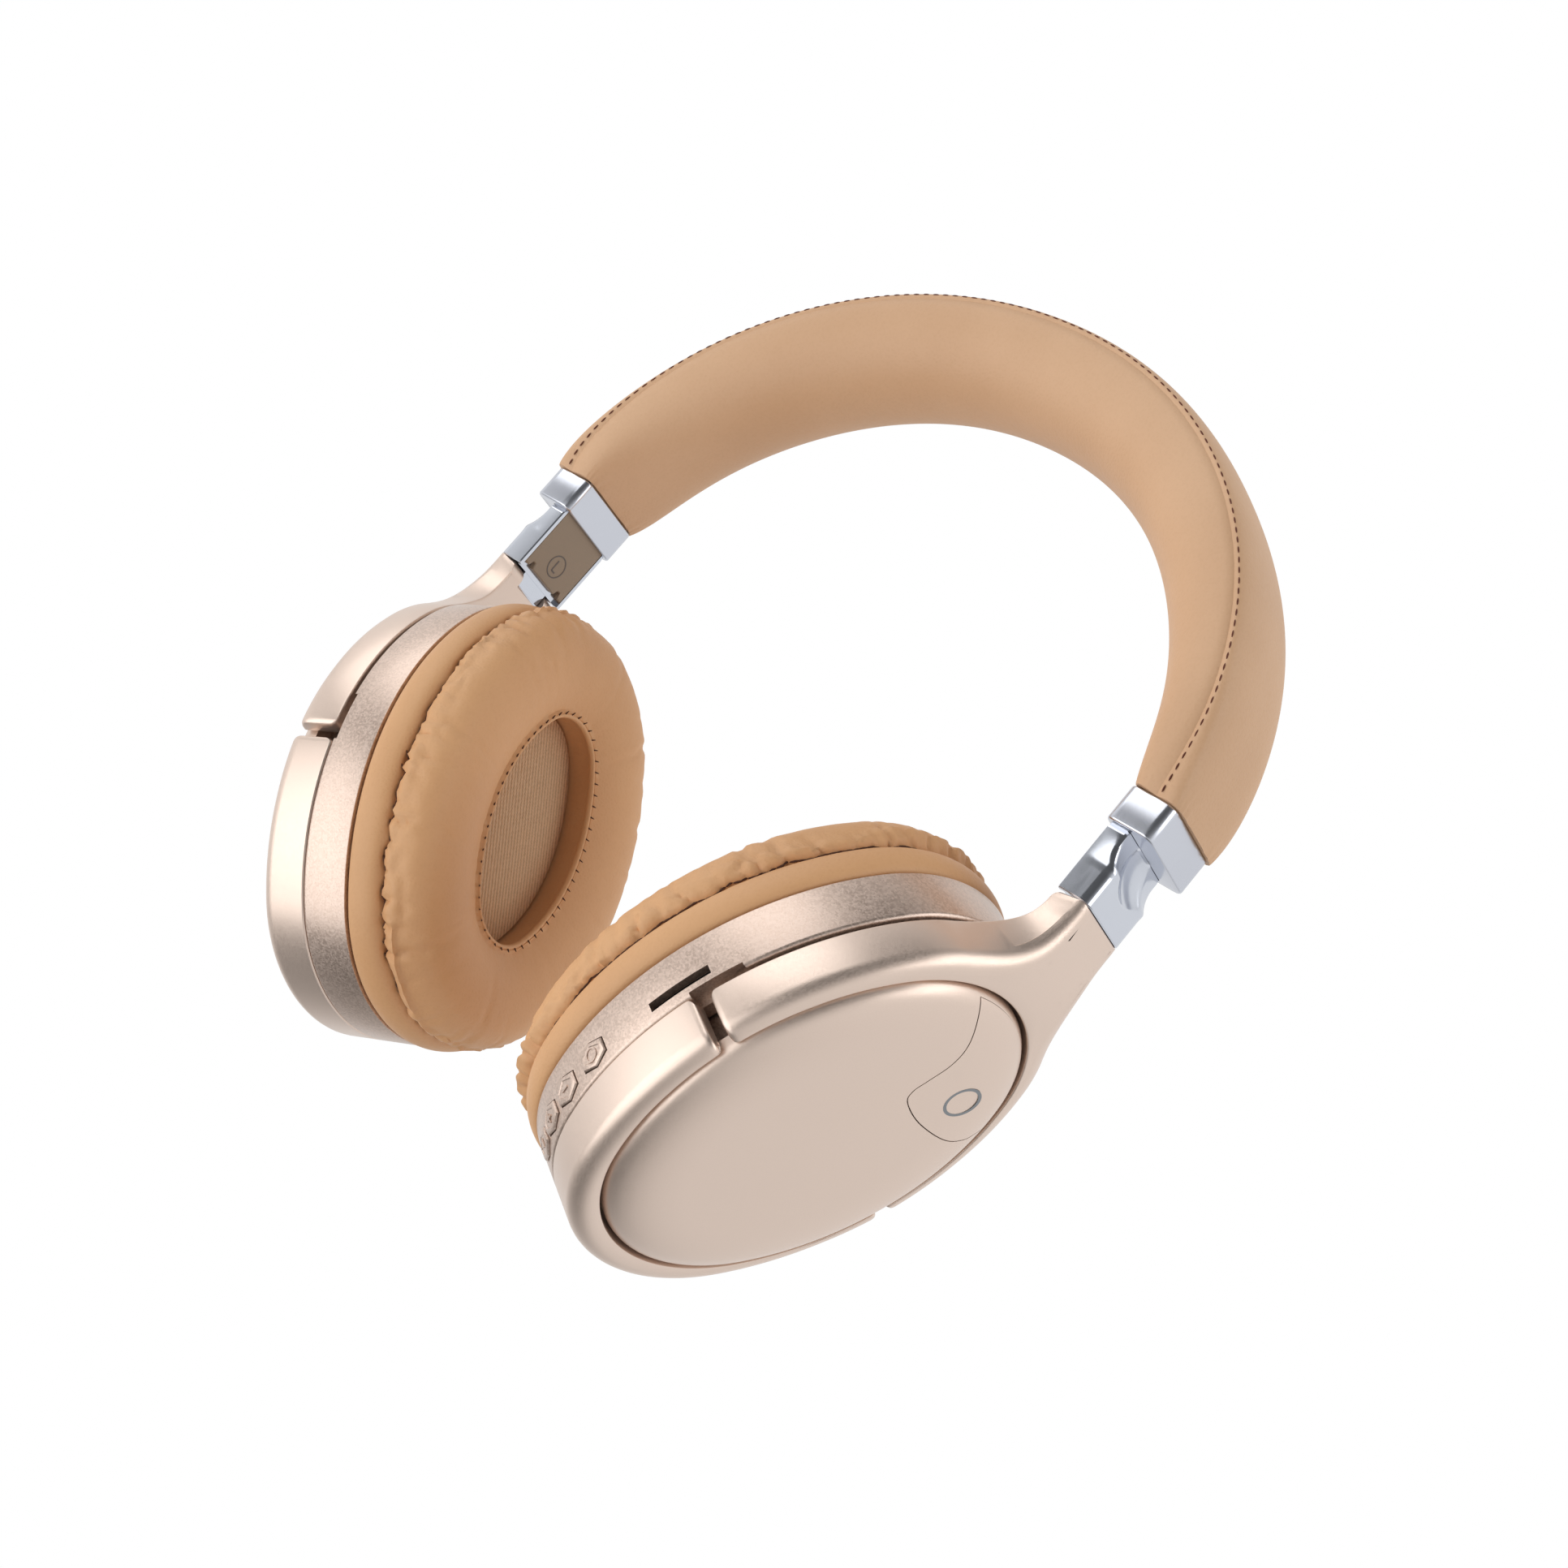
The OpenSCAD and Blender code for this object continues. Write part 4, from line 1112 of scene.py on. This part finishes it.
def gathered(body, seed):
    """Puckers pulled into the leather beside the gathered seam, and soft creases over the crown."""
    chance = np.random.default_rng(seed)
    shape = body.copy()
    normal = np.cross(np.gradient(body, axis=0), np.roll(body, -1, axis=1) - np.roll(body, 1, axis=1))
    normal /= np.maximum(np.linalg.norm(normal, axis=2, keepdims=True), 1e-9)
    tube = body[puff_from:puff_to].mean(axis=0)
    if np.sum((body[puff_from + 8] - tube) * normal[puff_from + 8]) < 0:
        normal = -normal
    run = run_along(profile)
    from_seam = run - run[puff_from]
    arc = np.cumsum(np.linalg.norm(np.roll(body[puff_from], -1, axis=0) - body[puff_from], axis=1))
    total = arc[-1]
    offset = np.zeros(shape.shape[:2])

    def beside(start, slant_here):
        """How far each point of a row lies from a crease that starts here, round the cushion."""
        return (arc - start - slant_here + total / 2) % total - total / 2

    at = 0.0
    while at < total - 2:
        at += chance.uniform(2.0, 7.5)
        depth, width = chance.uniform(0.3, 1.05), chance.uniform(0.4, 0.75)
        reach, slant = chance.uniform(4.0, 14.0), chance.uniform(-0.25, 0.25)
        for i in range(puff_from, puff_to):
            s = from_seam[i]
            away = beside(at, slant * s - 0.4 * math.sin(s + at))
            grown = width * (1 + 0.07 * s)
            fade = math.exp(-(s / reach) ** 1.6) * min(1, s / 1.2 + 0.25)
            offset[i] -= depth * fade * np.exp(-(away / grown) ** 2)
            offset[i] += 0.35 * depth * fade * np.exp(-((np.abs(away) - 2.0 * grown) / (1.3 * grown)) ** 2)
        for i in range(puff_from - 7, puff_from):
            s = -from_seam[i]
            away = beside(at, 0)
            offset[i] -= 0.3 * depth * math.exp(-(s / 1.3) ** 2) * np.exp(-(away / 0.8) ** 2)
    for _ in range(16):
        i0 = chance.integers(puff_from + 10, puff_to - 6)
        at, slant, span = chance.uniform(0, total), chance.uniform(-0.5, 0.5), chance.uniform(4, 9)
        depth = chance.uniform(0.05, 0.14)
        for i in range(puff_from + 4, puff_to - 2):
            s = from_seam[i] - from_seam[i0]
            away = beside(at, slant * s)
            offset[i] -= depth * math.exp(-(s / span) ** 2) * np.exp(-(away / 0.55) ** 2)
    shape += normal * offset[..., None]
    # the seam itself wanders a little
    wave = sum(chance.uniform(0.05, 0.16) * np.sin(k * turns + chance.uniform(0, 6.28))
               for k in range(9, 60, 5))
    for i in range(puff_from - 3, puff_from + 3):
        shape[i, :, 2] += wave * (1 - abs(i - puff_from + 0.5) / 4)
    return shape


def unit(rows):
    return rows / np.linalg.norm(rows, axis=1)[:, None]


# dark thread for the hole's stitches; the same thread sewn along the cushion's seam also serves as painted
# shadow in its fold
edge_thread = thread_finish("edge_thread", srgb(92, 52, 30))
for (side_name, side), seed in zip(sides, (11, 29)):
    shape = gathered(body, seed)
    loops = in_cup(shape[..., :2], shape[..., 2])
    cushion = shell("ear_pad_" + side_name, loops, side, cushion_leather, 60, ring=True)
    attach(cushion, "cup_" + side_name)
    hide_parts("ear_cushion_" + side_name)

    # the gathering thread, pulled deep into the seam: dark and sewn without gaps, it also stands in as
    # painted shadow in the seam's fold
    groove = (shape[puff_from - 1] + shape[puff_from]) / 2 + 0.8 * (shape[puff_from + 1] - shape[puff_from])
    draw = mirrored(in_cup(groove[:, :2], groove[:, 2]), side)
    path = (draw, np.roll(draw, -1, axis=0) - draw, True)
    gather = sew("gather_thread_" + side_name, [path], 1.5, 1.9, 0.42, edge_thread)

    # the folded edge: a thin raised welt inside the hole
    loops = []
    for a in np.linspace(0, 2 * math.pi, 9)[:-1]:
        ring = oval(cup_w, cup_h, turns, -21.75 + 0.55 * math.cos(a))
        loops.append(in_cup(ring, -15.55 + 0.75 * math.sin(a)))
    welt = shell("hole_welt_" + side_name, loops, side, cushion_leather, 60, ring=True)

    # stitches that slant across the folded edge
    line = in_cup(oval(cup_w, cup_h, turns, -21.35), -16.28)
    over = unit(in_cup(oval(cup_w, cup_h, turns, -22.2), -15.5) - line)
    lay = over + 0.35 * unit(np.roll(line, -4, axis=0) - line)
    path = (mirrored(line, side), mirrored(lay, side), True)
    stitches = sew("hole_stitches_" + side_name, [path], 2.4, 1.5, 0.3, edge_thread)
    for piece in (welt, stitches, gather):
        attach(piece, "cup_" + side_name)


# ---------- grille cloths ----------
# Twill-woven speaker cloth, stretched over a slightly domed foam behind the cushion's hole.

def twill(name, colour, dark):
    """Diagonal ribs crossed by finer threads, with loose fibres, and painted shade where the weave lies low.
    """
    cloth = Finish(name, colour, 0.85, sheen_weight=0.2, sheen_roughness=0.5)
    way = cloth.where()
    warp = cloth.node("ShaderNodeTexWave", {"bands_direction": "DIAGONAL"}, way, scale=560.0, distortion=1.5,
                      detail=1.0, detail_scale=4.0)
    weft = cloth.node("ShaderNodeTexWave", {"bands_direction": "Y"}, way, scale=820.0, distortion=1.0,
                      detail=1.0)
    fuzz = cloth.noise(1800.0, 3.0)
    height = warp * 0.7 + weft * 0.5 + fuzz * 0.5
    # painted shade: the colour darkens where the weave's height is low, between the threads
    shade = cloth.mix(dark, colour, (height * 0.75).ramp(0.15, 1.0))
    return cloth.feed(base_color=shade, normal=cloth.bump(height, 0.00018, 0.9))


grille_half, grille_dome = 16.3, 2.0                # half its width, and how far it bulges
# the second colour is the painted shade in the low parts of the weave
grille_twill = twill("grille_twill", srgb(228, 190, 151), srgb(176, 136, 98))
for side_name, side in sides:
    rim = oval(cup_w, cup_h, turns[::2], grille_half - cup_w / 2)
    loops = [in_cup(rim * k, -8.7) for k in (0.1, 1)]
    loops += [in_cup(rim * k, -9.5 - grille_dome * (1 - k ** 2)) for k in np.linspace(1, 0.02, 30)]
    cloth = shell("grille_cover_" + side_name, loops, side, grille_twill)
    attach(cloth, "cup_" + side_name)
    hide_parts("grille_cloth_" + side_name)


# ---------- buttons ----------
# Four six-sided moulded keys in the right barrel, sprayed like it, each with a chamfered
# edge and a raised plain sign: a ring, a minus, a plus and a play triangle.

button_out, dish = 0.5, 0.12                         # how far a key stands out, and the dip in its face
ring_path = arc_points(0, 0, 1.25, 0, 360, 21)
minus = stroke((-0.9, 0), (0.9, 0), 0.34)
plus = stroke((0, -0.9), (0, 0.9), 0.34)
signs = {"power_button": [(stroke(p, q, 0.3), 0.16) for p, q in zip(ring_path, ring_path[1:])],
         "volume_down_button": [(minus, 0.16)],
         "volume_up_button": [(minus, 0.16), (plus, 0.17)],
         "mode_button": [([(-0.7, -0.95), (0.95, 0), (-0.7, 0.95)], 0.16)]}
# how far out each step of a key's face lies, and how far inside the key's outline: the side, the
# chamfer, and a shallow dish inside the raised border
face_steps = ((-2.4, 0.0), (0.12, 0.0), (0.38, 0.14), (button_out, 0.42), (button_out, 0.8),
              (button_out - dish, 0.95))


def raised(angle, outline, height):
    """A small sign in a key's dish, from an outline of (along, depth from the middle)."""
    verts, faces = loft([[on_rim(angle, x, button_z + z, button_out + out) for x, z in outline]
                         for out in (-0.05, height)])
    return verts - (0, dish * math.cos(math.radians(angle)), 0), faces


for (kind, marks), angle in zip(signs.items(), button_angles):
    loops = [[on_rim(angle, x, z, out) for x, z in hexagon(-inside)] for out, inside in face_steps]
    verts, faces = joined([loft(loops), *(raised(angle, *mark) for mark in marks)])
    key = add(kind.replace("_button", "_key"), verts, faces, sparkle, 28)
    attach(key, kind)
    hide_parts(kind)


# ---------- inner parts ----------
# What sits inside the band and the cups: springs, strips and screws of steel, nylon guides
# and baffles, the drivers, the battery and the circuit board. They keep their moulded shapes.

steel = metal("spring_steel", srgb(176, 178, 184), 0.3, 0.00002, (300, 20, 20))
screw_steel = metal("screw_steel", srgb(120, 122, 128), 0.34)
nylon = plastic("grey_nylon", srgb(58, 56, 54), 0.5)
lead_rubber = plastic("lead_sheath", srgb(40, 38, 38), 0.6)
film = plastic("driver_film", srgb(196, 170, 104), 0.25)
battery_film = plastic("battery_wrap", srgb(70, 110, 160), 0.3)
board_mask = plastic("board_laminate", srgb(20, 84, 52), 0.35)
finishes = {"spring_band": steel, "band_lead": lead_rubber, "slider_strip": steel, "slider_guide": nylon,
            "yoke_cover": taupe_plastic, "fold_pin": screw_steel, "yoke_screws": screw_steel,
            "pivot_pins": screw_steel, "baffle": nylon, "cup_screws": screw_steel, "driver_basket": nylon,
            "driver_magnet": steel, "diaphragm": film, "cushion_ring": nylon, "battery": battery_film,
            "circuit_board": board_mask, "card_reader": nylon, "audio_jack": nylon, "charging_port": steel}
for name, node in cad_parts.items():
    kind = name.replace("_left", "").replace("_right", "")
    if kind in finishes:
        node.data.materials.clear()
        node.data.materials.append(finishes[kind])


# ---------- size and finish ----------

def plain(box):
    return [[float(v) for v in corner] for corner in box]
